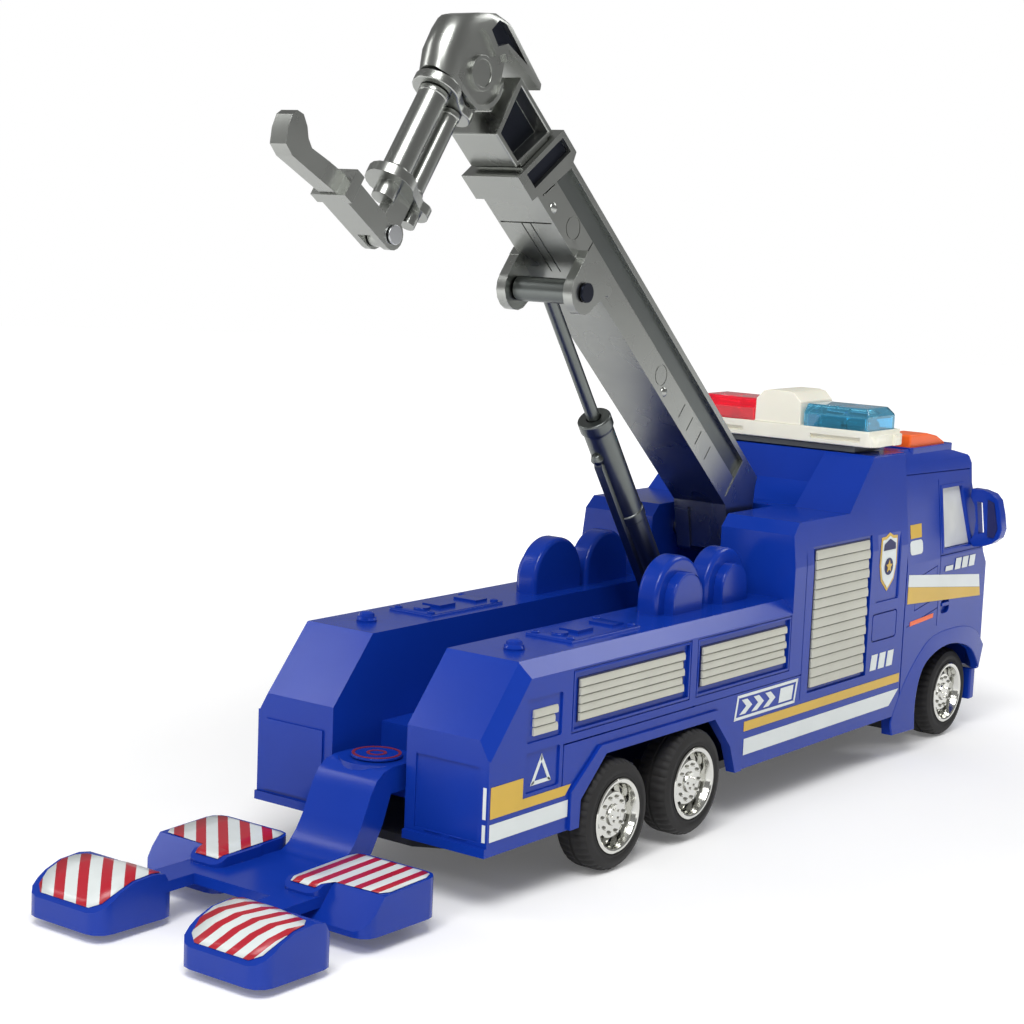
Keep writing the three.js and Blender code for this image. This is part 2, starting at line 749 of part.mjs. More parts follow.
function boomOuter() {
  const w = BOOM_HALF_W;
  const low = BOOM_LOW;
  const top = BOOM_TOP;
  const collarLow = low - 2.6;
  const collarTop = top + 3.2;
  const beam = [
    ...arc(0, 0, 8, 180, 270, 5),
    [14, low],
    [BOOM_COLLAR_X + 5, low],
    [BOOM_COLLAR_X + 6, collarLow],
    [BOOM_COLLAR_X + 16, collarLow],
    [BOOM_COLLAR_X + 9.4, collarTop],
    [BOOM_COLLAR_X, collarTop],
    [BOOM_COLLAR_X - 1, top],
    [4, top],
    [2.6, 18.5],
    [-8, 4],
  ];
  let made = side(beam, -w, w);
  // side pockets between the flanges, with a rail along each
  const pocket = [
    [16, low + 2.2],
    [BOOM_COLLAR_X + 3.5, low + 2.2],
    [BOOM_COLLAR_X - 1.5, top - 2],
    [16, top - 2],
  ];
  made = cut(made, pair(side(pocket, w - 1.7, w + 1)));
  made = join(made, pair(side(rectangle(15, BOOM_COLLAR_X + 1, 11, 12.4), w - 3, w - 0.4)));
  // slanted window in the collar
  const window = [
    [BOOM_COLLAR_X + 7.6, low + 1],
    [BOOM_COLLAR_X + 13.4, low + 1],
    [BOOM_COLLAR_X + 8, collarTop - 1.8],
    [BOOM_COLLAR_X + 2.2, collarTop - 1.8],
  ];
  made = cut(made, pair(side(window, w - 1.7, w + 1)));
  // bore for the inner section, open at the tip; fork for the foot
  made = cut(made, box(30, BOOM_COLLAR_X + 30, -INNER_HALF_W - GAP, INNER_HALF_W + GAP, INNER_LOW - GAP, INNER_TOP + GAP));
  made = cut(made, box(-20, 12, -5, 5, -20, 40));
  // clevis ears below the beam
  const [cx, cz] = CLEVIS;
  const ear = [
    ...arc(cx, cz, CLEVIS_R, 180, 360, 8),
    [cx + CLEVIS_R + 0.6, low + 3],
    [cx - CLEVIS_R - 4, low + 3],
  ];
  const ears = side(ear, CLEVIS_IN, CLEVIS_IN + 3.4);
  made = join(made, pair(join(ears, box(cx - CLEVIS_R - 4, cx + CLEVIS_R + 0.6, w - 2, CLEVIS_IN + 3.4, low, low + 3))));
  made = cut(made, barY(CLEVIS_PIN_R + GAP, -20, 20, cx, cz, 20));
  made = cut(made, barY(BOOM_PIN_R + GAP, -20, 20, 0, 0, 20));
  return made;
}
place(boomFrame, "boom_outer", boomOuter(), PLATED);
place(boomFrame, "boom_pin", barY(BOOM_PIN_R, -18, 18, 0, 0, 18), STEEL);

function boomInner() {
  const w = INNER_HALF_W;
  const start = 60;
  let made = box(start, 182, -w, w, INNER_LOW, INNER_TOP);
  // taller end block, always outside the collar
  const block = [
    [179.4, 3.2],
    [193, 3.2],
    [196, 23],
    [173.4, 23],
  ];
  made = join(made, side(block, -w, w));
  const pocket = (outline) => pair(side(outline, 3.2, w + 1));
  made = cut(
    made,
    pocket(rectangle(start + 4, 170, INNER_LOW + 1.6, INNER_TOP - 1.6)),
    pocket([
      [180.2, 5],
      [191.6, 5],
      [194, 21.2],
      [175.4, 21.2],
    ]),
  );
  // tongue with the eye of the head pivot
  const [hx, hz] = HEAD_PIVOT;
  const tongue = [
    [188, hz - 2.1],
    [hx - 4, hz - 2.1],
    ...arc(hx, hz, 6.9, -130, 100, 12),
    [hx - 4, hz + 6.6],
    [188, hz + 6.6],
  ];
  made = join(made, side(tongue, -3, 3));
  return cut(made, barY(HEAD_PIN_R + GAP, -10, 10, hx, hz, 18));
}
place(boomFrame, "boom_inner", boomInner(), PLATED);

// Solid through a stack of plan sections, each D-shaped with its round end outwards:
// every row is [height, centre of the round end along the boom, half width].
function loftedD(rows, start, steps) {
  const points = [];
  const faces = [];
  for (const [z, centre, w] of rows) {
    points.push([start, -w, z]);
    for (let i = 0; i <= steps; i += 1) {
      const a = -Math.PI / 2 + (Math.PI * i) / steps;
      points.push([centre + w * Math.cos(a), w * Math.sin(a), z]);
    }
    points.push([start, w, z]);
  }
  const n = steps + 3;
  for (let k = 0; k + 1 < rows.length; k += 1) {
    for (let i = 0; i < n; i += 1) {
      const j = (i + 1) % n;
      const [a, b, c, d] = [k * n + i, k * n + j, (k + 1) * n + j, (k + 1) * n + i];
      faces.push(a, b, c, a, c, d);
    }
  }
  const last = (rows.length - 1) * n;
  for (let i = 1; i + 1 < n; i += 1) {
    faces.push(0, i + 1, i, last, last + i, last + i + 1);
  }
  const geometry = new THREE.BufferGeometry();
  geometry.setAttribute("position", new THREE.BufferAttribute(new Float32Array(points.flat()), 3));
  geometry.setIndex(faces);
  return solid(geometry);
}

function boomHead() {
  const [hx, hz] = HEAD_PIVOT;
  const w = HEAD_HALF_W;
  // outline in side view, out to the crown of the rounded back
  const shell = [
    ...arc(hx, hz, 10.4, 170, 240, 8),
    [206, 3.5],
    [213, 2.8],
    [219.5, 2.1],
    [222.6, 2.8],
    [224.6, 8],
    [225.4, 14],
    [225.4, 18],
    [223.4, 23.4],
    [219, 28.8],
    [213, 32.4],
    [207, 33.2],
    [184.9, 31.4],
    [184.3, 29.4],
    [203.4, 26.6],
  ];
  const rows = [
    [0, 214.8, 5.6],
    [2.6, 215.6, 5.8],
    [8, 218.2, w],
    [14, 219.2, w],
    [18, 219.2, w],
    [22, 218, w],
    [27, 214.6, w - 0.2],
    [30.6, 210.6, w - 0.6],
    [34, 204, w - 1.4],
  ];
  let made = both(side(shell, -w - 1, w + 1), loftedD(rows, 180, 10));
  // slot for the tongue, wide enough for the whole tilt
  const slot = 3 + GAP + 0.1;
  made = cut(made, barY(7.6, -slot, slot, hx, hz, 24));
  const lane = (turn) => {
    const c = Math.cos(THREE.MathUtils.degToRad(turn));
    const n = Math.sin(THREE.MathUtils.degToRad(turn));
    const at = ([u, v]) => [hx + u * c - v * n, hz + u * n + v * c];
    return side(rectangle(-24, 0, -7.5, 7.5).map(at), -slot, slot);
  };
  made = cut(made, lane(0), lane(HEAD_TILT / 2), lane(HEAD_TILT));
  // sunk sides with a raised disc around the pin, and a sunk pocket in the hood
  const sunk = [
    ...arc(hx, hz, 9, 160, 240, 7),
    [206, 4.7],
    [212.6, 4.4],
    [215, 4.8],
    [217.2, 10],
    [217.9, 14],
    [217.9, 18],
    [216.4, 22],
    [213.8, 22.4],
    [206.4, 20.9],
    [204, 24.4],
    [199, 22],
  ];
  made = cut(made, pair(side(sunk, w - 1.1, w + 1)));
  made = join(made, pair(barY(5.2, w - 1.6, w - 0.3, hx, hz, 24)));
  const hood = [
    [207.6, 23.4],
    [213.2, 24.6],
    [212.2, 29.6],
    [208.6, 31.4],
    [193.5, 30.3],
    [204.8, 27.6],
  ];
  made = cut(made, pair(side(hood, w - 2.4, w + 1)));
  return cut(made, barY(HEAD_PIN_R + GAP, -w + 1.4, w - 1.4, hx, hz, 18));
}
place(boomFrame, "boom_head", boomHead(), PLATED);
place(boomFrame, "head_pin", barY(HEAD_PIN_R, -HEAD_HALF_W + 1.8, HEAD_HALF_W - 1.8, ...HEAD_PIVOT, 18), STEEL);

// ---------------------------------------------------------------- lifting fork
// Drawn about the head pivot, Z up along the posts and X towards the boom.
function frameAt(x, z, tilt) {
  const group = new THREE.Group();
  group.rotation.y = THREE.MathUtils.degToRad(tilt);
  group.position.set(x, 0, z);
  truck.add(group);
  return group;
}
function worldOf(u, v) {
  const at = new THREE.Vector3(u, 0, v).applyMatrix4(boomFrame.matrix);
  return [at.x, at.z];
}
const forkFrame = frameAt(...worldOf(...FORK_AT), FORK_TILT);
const POST = { x: -4.3, r: 4.6 };
const GUIDE = { x: 5, r: 3.2 };
const eight = (x0, r0, x1, r1, z0, z1) =>
  plan(
    [
      ...arc(x0, 0, r0, 50, 310, 14),
      [x1 - r1 * 0.5, -r1 * 0.84],
      ...arc(x1, 0, r1, -90, 90, 10),
      [x1 - r1 * 0.5, r1 * 0.84],
    ],
    z0,
    z1,
  );
place(forkFrame, "hoist_top_flange", eight(POST.x, 7.1, GUIDE.x + 2.2, 4.6, -10.6, -7.5), PLATED);
place(forkFrame, "hoist_post", barZ(POST.r, -39.7, -10.9, POST.x, 0, 28), PLATED);
place(forkFrame, "hoist_guide", barZ(GUIDE.r, -39.7, -10.9, GUIDE.x, 0, 18), PLATED);

const CLAW_PIVOT = [1, -55.7];
function hoistFoot() {
  const lug = [
    [-2.4, -42],
    ...arc(CLAW_PIVOT[0], CLAW_PIVOT[1], 3.6, 180, 360, 10),
    [4.8, -42],
  ];
  let made = eight(POST.x, 7.4, GUIDE.x + 4, 4.4, -43, -40);
  made = join(made, barZ(3.4, -47.6, -42, POST.x, 0, 20), barZ(2.4, -47.4, -42, 8.6, 0, 16), side(lug, -1.9, 1.9));
  return cut(made, barY(CLAW_PIN_R + GAP, -5, 5, ...CLAW_PIVOT, 14));
}
place(forkFrame, "hoist_foot", hoistFoot(), PLATED);

function clawArm() {
  const [cx, cz] = CLAW_PIVOT;
  // open channel with two cheeks, a cross rib and a collar at its end
  const channel = [
    ...arc(cx, cz, 4.3, -90, 100, 9),
    [-3, -53.2],
    [-20, -52.8],
    [-20, -60],
  ];
  let made = side(channel, -4.6, 4.6);
  made = cut(
    made,
    box(cx - 5.6, cx + 8, -2.3, 2.3, -64, -48),
    box(-19, cx - 5, -3.1, 3.1, -57.8, -48),
  );
  made = join(made, box(-11.4, -10.2, -3.4, 3.4, -58.4, -54.2), box(-23.2, -19.6, -6.2, 6.2, -60.2, -51.6));
  // tapering shank and upturned tip of the hook
  const shank = [
    [-22, -59.6],
    [-42.8, -62.2],
    [-46.6, -61.2],
    [-48.5, -57.4],
    [-49.2, -53.6],
    [-48.3, -51.6],
    [-45.8, -51],
    [-42.8, -52.6],
    [-40.6, -54.8],
    [-38, -56],
    [-30.5, -54.6],
    [-22, -53.4],
  ];
  made = join(made, side(shank, -2.9, 2.9));
  return cut(made, barY(CLAW_PIN_R + GAP, -8, 8, cx, cz, 14));
}
place(forkFrame, "claw_hook", clawArm(), PLATED);
place(forkFrame, "claw_pin", join(barY(CLAW_PIN_R, -4.9, 4.9, ...CLAW_PIVOT, 14), pair(barY(2.8, 4.9, 5.6, ...CLAW_PIVOT, 18))), STEEL);

// ---------------------------------------------------------------- lifting ram
// Drawn about its foot, X along it from the foot to the clevis.
const clevisAt = worldOf(...CLEVIS);
const ramRun = Math.hypot(clevisAt[0] - RAM_PIVOT[0], clevisAt[1] - RAM_PIVOT[1]);
const ramLean = THREE.MathUtils.radToDeg(Math.atan2(clevisAt[1] - RAM_PIVOT[1], clevisAt[0] - RAM_PIVOT[0]));
const ramFrame = frameAt(RAM_PIVOT[0], RAM_PIVOT[1], -ramLean);
const barX = (r, x0, x1, sides) => {
  const geometry = new THREE.CylinderGeometry(r, r, x1 - x0, sides);
  geometry.rotateZ(Math.PI / 2);
  geometry.translate((x0 + x1) / 2, 0, 0);
  return solid(geometry);
};
const ramBarrel = () => {
  let made = join(barX(RAM_R, 4, 97, 24), barX(RAM_R + 0.6, 95.6, 100, 24), barY(RAM_R + 0.2, -6, 6, 0, 0, 20));
  made = join(made, box(-0.5, 7, -RAM_R + 0.6, RAM_R - 0.6, -4, 4));
  made = cut(made, barX(RAM_ROD_R + GAP, 13, 104, 18));
  return cut(made, barY(RAM_PIN_R + GAP, -10, 10, 0, 0, 16));
};
place(ramFrame, "ram_barrel", ramBarrel(), PLATED);
const ramRod = () => {
  const made = join(barX(RAM_ROD_R, 42, ramRun - 1, 16), barY(3.85, -10.4, 10.4, ramRun, 0, 20));
  return cut(made, barY(CLEVIS_BORE_R, -12, 12, ramRun, 0, 18));
};
place(ramFrame, "ram_rod", ramRod(), CHROME);
place(ramFrame, "ram_pin", barY(RAM_PIN_R, -18, 18, 0, 0, 16), STEEL);
place(
  boomFrame,
  "clevis_pin",
  join(barY(CLEVIS_PIN_R, -15.2, 15.2, ...CLEVIS, 14), pair(barY(3.1, CLEVIS_IN + 3.7, CLEVIS_IN + 4.7, ...CLEVIS, 18))),
  STEEL,
);

// ---------------------------------------------------------------- wheel cradle
function cradle() {
  const x = CRADLE_PIVOT_X;
  const half = CRADLE_ARM_HALF_W;
  const top = CRADLE_HUB_TOP;
  const base = POCKET_Z + GAP;
  const arm = [
    [x, top],
    [x - 5.5, top],
    [x - 9.4, top - 0.8],
    [x - 12.6, top - 3],
    [x - 15, top - 6.6],
    [x - 17, top - 11],
    [x - 19, 21.6],
    [x - 21.4, 17.8],
    [x - 24.4, 14.6],
    [x - 28, 12.4],
    [x - 28, 9.3],
    [x - 20, 9.3],
    [x - 14, 13.4],
    [x - 9.4, 21],
    [x - 6.2, base],
    [x, base],
  ];
  const plate = [
    [x - 26, -24],
    [x - 26, 24],
    [-128, 24],
    [-128, half + 3],
    [-116, half + 3],
    [-116, -half - 3],
    [-128, -half - 3],
    [-128, -24],
  ];
  const rearPad = [
    [-150.5, 2.5],
    [-122, 2.1],
    [-122, 8],
    [-127, 14.6],
    [-131, 15.3],
    [-138, 14.8],
    [-143, 13],
    [-150.5, 8.3],
  ];
  const frontPad = [
    [-109.5, 4.8],
    [-79, 4.5],
    [-79, 16],
    [-102, 15.2],
    [-109.5, 6.4],
  ];
  const step = [
    [-109.5, 9.3],
    [-90, 9.3],
    [-90, 15.5],
    [-106, 15.2],
    [-109.5, 13.2],
  ];
  const rounded = (outline, x0, x1, y0, y1, r) =>
    both(side(outline, y0, y1), plan(roundedOutline(x0, x1, y0, y1, r), 0, 20));
  const pads = join(
    rounded(rearPad, -150.5, -122, 14, 43.5, 5),
    rounded(frontPad, -109.5, -79, 12, 42, 4.5),
    rounded(step, -109.5, -90, 11.5, 24, 3),
  );
  // hollow undersides of the pads
  const hollows = join(box(-147, -124.4, 17, 40.4, -1, 7), box(-101.5, -82, 26.4, 39, -1, 12.4));
  let made = join(barZ(half, base, top, x, 0, 28), side(arm, -half, half), plan(plate, 9.3, 12.4));
  made = cut(join(made, pair(pads)), pair(hollows));
  return cut(made, barZ(3 + GAP, 0, 60, x, 0, 20));
}
place(truck, "wheel_cradle", cradle(), BLUE);
place(
  truck,
  "cradle_pin",
  join(barZ(3, POCKET_Z - WALL - 1, CRADLE_HUB_TOP + 0.6, CRADLE_PIVOT_X, 0, 20),
    barZ(7.6, CRADLE_HUB_TOP + GAP, CRADLE_HUB_TOP + 1.1, CRADLE_PIVOT_X, 0, 28)),
  BLACK,
);

// ---------------------------------------------------------------- origin: middle of the foot of the whole
const bounds = new THREE.Box3().setFromObject(truck);
const model = new THREE.Group();
truck.position.set(-(bounds.min.x + bounds.max.x) / 2, 0, -bounds.min.z);
model.add(truck);

export default model;
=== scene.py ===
"""Looks of the toy tow truck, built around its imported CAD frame.

Pieces are drawn in millimetres, with x measured forward from the rear axle, y to the truck's left
and z up from the floor.  put() turns them into the row frame's metres.
"""
import json
import math

import bmesh
import bpy
from mathutils import Matrix, Vector

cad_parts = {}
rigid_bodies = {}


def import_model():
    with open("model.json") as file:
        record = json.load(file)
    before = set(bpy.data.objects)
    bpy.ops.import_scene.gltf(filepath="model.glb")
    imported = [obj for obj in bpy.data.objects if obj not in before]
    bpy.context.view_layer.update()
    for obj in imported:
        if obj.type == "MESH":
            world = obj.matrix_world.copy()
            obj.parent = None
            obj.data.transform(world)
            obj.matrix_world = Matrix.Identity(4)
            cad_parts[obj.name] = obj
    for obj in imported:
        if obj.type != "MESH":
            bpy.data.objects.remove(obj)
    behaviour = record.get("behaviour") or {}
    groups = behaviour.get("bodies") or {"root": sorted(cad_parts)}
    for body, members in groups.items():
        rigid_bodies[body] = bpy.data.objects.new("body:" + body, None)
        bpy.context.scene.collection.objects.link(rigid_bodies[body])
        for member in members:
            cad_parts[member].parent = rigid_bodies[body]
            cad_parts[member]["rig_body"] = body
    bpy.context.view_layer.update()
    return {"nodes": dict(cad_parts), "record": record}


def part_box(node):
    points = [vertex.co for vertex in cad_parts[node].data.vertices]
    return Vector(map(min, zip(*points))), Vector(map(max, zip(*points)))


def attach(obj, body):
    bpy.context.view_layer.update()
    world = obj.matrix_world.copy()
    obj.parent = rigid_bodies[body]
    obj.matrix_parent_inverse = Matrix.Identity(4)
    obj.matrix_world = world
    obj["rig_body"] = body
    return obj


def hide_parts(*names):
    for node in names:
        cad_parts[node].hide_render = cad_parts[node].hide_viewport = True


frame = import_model()

# ------ driving dimensions (mm, degrees)
MM = 0.001
HANDS = ("left", "right")
TYRE_R = 17.0
TYRE_W = 12.0
RIM_R = 11.25
HALF_W = 43.5
DECK_Z = 69.2
HUMPS = [(43.8, 70.8, 87.0), (73.4, 98.4, 86.8)]  # rear end, front end, top
AXLES = {"rear": (0.0, 17.0, 46.2), "middle": (42.1, 19.0, 46.2), "front": (234.2, 17.0, 40.0)}
BOOM_PIVOT = (120.0, 86.0)
BOOM_ANGLE = 41.2
FORK_TILT = 34.96
HEAD_PIVOT = (207.5, 13.1)
FORK_AT = (210.8, 10.1)  # origin of the fork's drawing, in the boom's
RAM_PIVOT = (101.6, 47.6)
CLEVIS = (133.8, -5.0)
CRADLE_PIVOT_X = -57.5
DECAL = 0.14  # thickness of a sticker
LIFT = 0.04  # gap under a sticker
SEAM = 0.5  # width of a panel line
PANEL = 0.6  # depth of the sunk panels on the sides
SIGN_Y = HALF_W - PANEL  # floor of the sunk sign and badge panels
REAR_X = -61.0  # rear faces of the body
BOOM_HALF_W = 10.5
SHARP = 32  # a fold above this angle is an edge
CAMERA_AT = (-524.5, -393.0, 195.2)
CAMERA_TURN = (36.691, 7.996, -2.333)  # yaw, pitch and roll
LENS = 76.33828  # focal length on a sensor 36 mm wide

low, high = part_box("axle_rear")
AXLE_X = (low.x + high.x) / 2 / MM
TO_ROW = Matrix.Translation(Vector((AXLE_X * MM, 0, 0))) @ Matrix.Scale(MM, 4)


def tilted(x, z, degrees_about_y):
    """A drawing frame at x, z in the truck's middle plane, turned about the Y axis."""
    turn = Matrix.Rotation(math.radians(degrees_about_y), 4, "Y")
    return Matrix.Translation(Vector((x, 0, z))) @ turn


def boom_matrix():
    """X along the boom to its tip, Z across it upwards."""
    a = math.radians(BOOM_ANGLE)
    along = Vector((-math.cos(a), 0, math.sin(a)))
    across = Vector((math.sin(a), 0, math.cos(a)))
    sideways = across.cross(along)
    m = Matrix((along, sideways, across)).transposed().to_4x4()
    m.translation = Vector((BOOM_PIVOT[0], 0, BOOM_PIVOT[1]))
    return m


BOOM = boom_matrix()
fork_at = BOOM @ Vector((FORK_AT[0], 0, FORK_AT[1]))
FORK = tilted(fork_at.x, fork_at.z, FORK_TILT)
clevis_at = BOOM @ Vector((CLEVIS[0], 0, CLEVIS[1]))
ram_lean = math.degrees(math.atan2(clevis_at.z - RAM_PIVOT[1], clevis_at.x - RAM_PIVOT[0]))
RAM = tilted(RAM_PIVOT[0], RAM_PIVOT[1], -ram_lean)


# ------ materials
def linear(r, g, b):
    """Screen colour 0-255 to the scene's linear values."""

    def one(v):
        v /= 255
        return v / 12.92 if v <= 0.04045 else ((v + 0.055) / 1.055) ** 2.4

    return (one(r), one(g), one(b), 1.0)


class Nodes:
    """Short names for building a material's node tree."""

    def __init__(self, name):
        self.material = bpy.data.materials.new(name)
        self.material.use_nodes = True
        self.tree = self.material.node_tree
        self.shader = self.tree.nodes["Principled BSDF"]
        self.coords = self.tree.nodes.new("ShaderNodeTexCoord")

    def add(self, kind, **values):
        node = self.tree.nodes.new(kind)
        for key, value in values.items():
            if hasattr(node, key):
                setattr(node, key, value)
            else:
                node.inputs[key.replace("_", " ")].default_value = value
        return node

    def link(self, a, b):
        self.tree.links.new(a, b)

    def noise(self, scale, detail=3.0, roughness=0.5):
        node = self.add("ShaderNodeTexNoise", Scale=scale, Detail=detail, Roughness=roughness)
        self.link(self.coords.outputs["Object"], node.inputs["Vector"])
        return node.outputs["Fac"]

    def ramp(self, source, stops):
        node = self.add("ShaderNodeValToRGB")
        band = node.color_ramp
        while len(band.elements) < len(stops):
            band.elements.new(0.5)
        for element, (at, color) in zip(band.elements, stops):
            element.position = at
            element.color = color
        self.link(source, node.inputs["Fac"])
        return node.outputs["Color"]

    def spread(self, source, low_value, high_value):
        node = self.add("ShaderNodeMapRange", To_Min=low_value, To_Max=high_value)
        self.link(source, node.inputs["Value"])
        return node.outputs["Result"]

    def bump(self, source, strength, distance):
        node = self.add("ShaderNodeBump", Strength=strength, Distance=distance)
        self.link(source, node.inputs["Height"])
        self.link(node.outputs["Normal"], self.shader.inputs["Normal"])

    def set(self, **values):
        for key, value in values.items():
            self.shader.inputs[key.replace("_", " ")].default_value = value


def shade(color, factor):
    return tuple(min(1.0, c * factor) for c in color[:3]) + (1.0,)


def moulded(name, color, roughness, metallic=0.0, grain=0.25, coat=0.0, vary=0.08, **extra):
    """Moulded surface: faint mottling, uneven gloss and a fine eroded grain."""
    n = Nodes(name)
    cloud = n.noise(55.0, 4.0)
    tint = n.ramp(cloud, [(0.3, shade(color, 1 - vary)), (0.7, shade(color, 1 + vary))])
    n.link(tint, n.shader.inputs["Base Color"])
    smear = n.noise(60.0, 2.0)
    n.link(n.spread(smear, roughness * 0.8, roughness * 1.2), n.shader.inputs["Roughness"])
    if grain:
        n.bump(n.noise(2600.0, 2.0), grain, 0.00006)
    n.set(Metallic=metallic, Coat_Weight=coat, Coat_Roughness=0.12, **extra)
    return n.material


def striped(name, pale, strong, period, width, direction):
    """Sticker with slanted bars; direction is the bars' normal in the object's plane."""
    n = Nodes(name)
    dot = n.add("ShaderNodeVectorMath", operation="DOT_PRODUCT")
    dot.inputs[1].default_value = (direction[0] / period, direction[1] / period, 0)
    n.link(n.coords.outputs["Object"], dot.inputs[0])
    wave = n.add("ShaderNodeMath", operation="FRACT")
    n.link(dot.outputs["Value"], wave.inputs[0])
    cloud = n.noise(120.0, 3.0)
    bars = n.add("ShaderNodeValToRGB")
    bars.color_ramp.interpolation = "CONSTANT"
    bars.color_ramp.elements[0].color = strong
    bars.color_ramp.elements[1].position = width
    bars.color_ramp.elements[1].color = pale
    n.link(wave.outputs["Value"], bars.inputs["Fac"])
    soft = n.add("ShaderNodeMixRGB", blend_type="MULTIPLY", Fac=0.25)
    n.link(bars.outputs["Color"], soft.inputs["Color1"])
    n.link(n.ramp(cloud, [(0.3, (0.8, 0.8, 0.8, 1)), (0.7, (1, 1, 1, 1))]), soft.inputs["Color2"])
    n.link(soft.outputs["Color"], n.shader.inputs["Base Color"])
    n.link(n.spread(cloud, 0.25, 0.4), n.shader.inputs["Roughness"])
    n.bump(n.noise(900.0, 2.0), 0.12, 0.00005)
    return n.material


def clear(name, color, roughness, transmission, glow=0.0):
    """Tinted clear plastic."""
    n = Nodes(name)
    cloud = n.noise(90.0, 2.0)
    tint = n.ramp(cloud, [(0.3, shade(color, 0.92)), (0.7, shade(color, 1.08))])
    n.link(tint, n.shader.inputs["Base Color"])
    n.link(n.spread(cloud, roughness * 0.7, roughness * 1.4), n.shader.inputs["Roughness"])
    n.set(IOR=1.49, Transmission_Weight=transmission, Coat_Weight=0.4, Coat_Roughness=0.05)
    if glow:
        n.set(Emission_Color=color, Emission_Strength=glow)
    return n.material


WHITE = linear(214, 220, 219)
BLUE = moulded("blue_plastic", linear(14, 51, 152), 0.22, coat=0.1, vary=0.04, Specular_IOR_Level=0.22)
DARK_BLUE = moulded("dark_blue_seam", linear(12, 22, 84), 0.5)
BLACK = moulded("black_plastic", linear(26, 27, 30), 0.5)
RUBBER = moulded("tyre_rubber", linear(27, 26, 26), 0.72, grain=0.8, vary=0.2)
PLATED = moulded("silver_plating", linear(160, 162, 158), 0.28, metallic=1.0, grain=0, vary=0.02)
DARK_PLATED = moulded("smoky_plating", linear(108, 112, 110), 0.32, metallic=1.0, grain=0, vary=0.04)
# painted shade: near-black plating that stands in for the shade and dark reflections in sunk pockets and pin
# holes
SHADED = moulded("painted_shade_plating", linear(40, 43, 54), 0.36, metallic=1.0, grain=0, vary=0.05)
CHROME = moulded("bright_plating", linear(214, 214, 208), 0.13, metallic=1.0, grain=0, vary=0.05)
GREY = moulded("grey_plastic", linear(92, 95, 95), 0.55)
SILVER = moulded("printed_silver", linear(188, 188, 176), 0.42, metallic=0.15, vary=0.05)
CREAM = moulded("cream_plastic", linear(232, 228, 212), 0.42, vary=0.03, Subsurface_Weight=0.05)
ORANGE = moulded("orange_plastic", linear(246, 98, 24), 0.4, vary=0.05, Subsurface_Weight=0.08)
STEEL = moulded("steel", linear(186, 188, 190), 0.3, metallic=1.0)
BOARD = moulded("circuit_board", linear(28, 106, 60), 0.5)
YELLOW = moulded("yellow_print", linear(206, 168, 52), 0.36, vary=0.05)
PALE = moulded("white_print", WHITE, 0.34, vary=0.04)
RED_MARK = moulded("red_print", linear(120, 30, 46), 0.45)
BAR_RED = linear(176, 26, 44)
STRIPES_LEFT = striped("warning_bars_left", WHITE, BAR_RED, 0.0062, 0.46, (0.707, -0.707))
STRIPES_FRONT = striped("warning_bars_front", WHITE, BAR_RED, 0.0056, 0.45, (0.0, 1.0))
STRIPES_REAR = striped("warning_bars_rear", WHITE, BAR_RED, 0.0056, 0.45, (0.342, 0.94))
RED_LENS = clear("red_lens", linear(242, 40, 72), 0.04, 0.95, 0.14)
BLUE_LENS = clear("blue_lens", linear(110, 196, 226), 0.04, 1.0, 0.08)
GLAZING = clear("tinted_window", linear(30, 36, 42), 0.12, 0.1)
SILVER_GLASS = moulded("mirror_window", linear(226, 228, 222), 0.16, metallic=0.1, grain=0.05, vary=0.1)
LAMP = clear("clear_lamp", linear(225, 228, 228), 0.08, 0.7)
# slots of the materials that aren't named after their own
SLOTS = {
    "silver_plating": "plated_plastic",
    "smoky_plating": "plated_plastic",
    "bright_plating": "bright_plated_plastic",
    "printed_silver": "silver_print",
    "steel": "steel_pin",
}


# ------ mesh helpers
def across(axis, a, b, height):
    """A point at a, b in the plane that the axis crosses, at that height along the axis."""
    return {"y": (a, height, b), "z": (a, b, height), "x": (height, a, b)}[axis]


def outward(bm):
    bmesh.ops.recalc_face_normals(bm, faces=bm.faces)
    return bm


def prism(outline, lo, hi, along):
    """A closed outline drawn out along one axis: y takes (x, z), z takes (x, y), x takes (y, z)."""
    bm = bmesh.new()
    near = [bm.verts.new(across(along, a, b, lo)) for a, b in outline]
    far = [bm.verts.new(across(along, a, b, hi)) for a, b in outline]
    bm.faces.new(near)
    bm.faces.new(reversed(far))
    for i in range(len(outline)):
        j = (i + 1) % len(outline)
        bm.faces.new((near[i], near[j], far[j], far[i]))
    return outward(bm)


def block(x0, x1, y0, y1, z0, z1):
    return prism([(x0, z0), (x1, z0), (x1, z1), (x0, z1)], y0, y1, "y")


def turned(profile, segments, axis="y"):
    """A profile of (radius, height) turned about an axis; ends at radius 0 close it."""
    bm = bmesh.new()
    angles = [2 * math.pi * k / segments for k in range(segments)]
    rings = []
    for r, h in profile:
        stops = angles if r > 1e-6 else [0.0]
        points = [across(axis, r * math.cos(t), r * math.sin(t), h) for t in stops]
        rings.append([bm.verts.new(point) for point in points])
    for one, two in zip(rings, rings[1:]):
        for k in range(segments):
            corners = [one[k % len(one)], one[(k + 1) % len(one)]]
            corners += [two[(k + 1) % len(two)], two[k % len(two)]]
            unique = list(dict.fromkeys(corners))
            if len(unique) > 2:
                bm.faces.new(unique)
    for last in (rings[0], rings[-1]):
        if len(last) > 1 and profile[0] != profile[-1]:
            bm.faces.new(last)
    bmesh.ops.remove_doubles(bm, verts=bm.verts, dist=1e-4)
    return outward(bm)


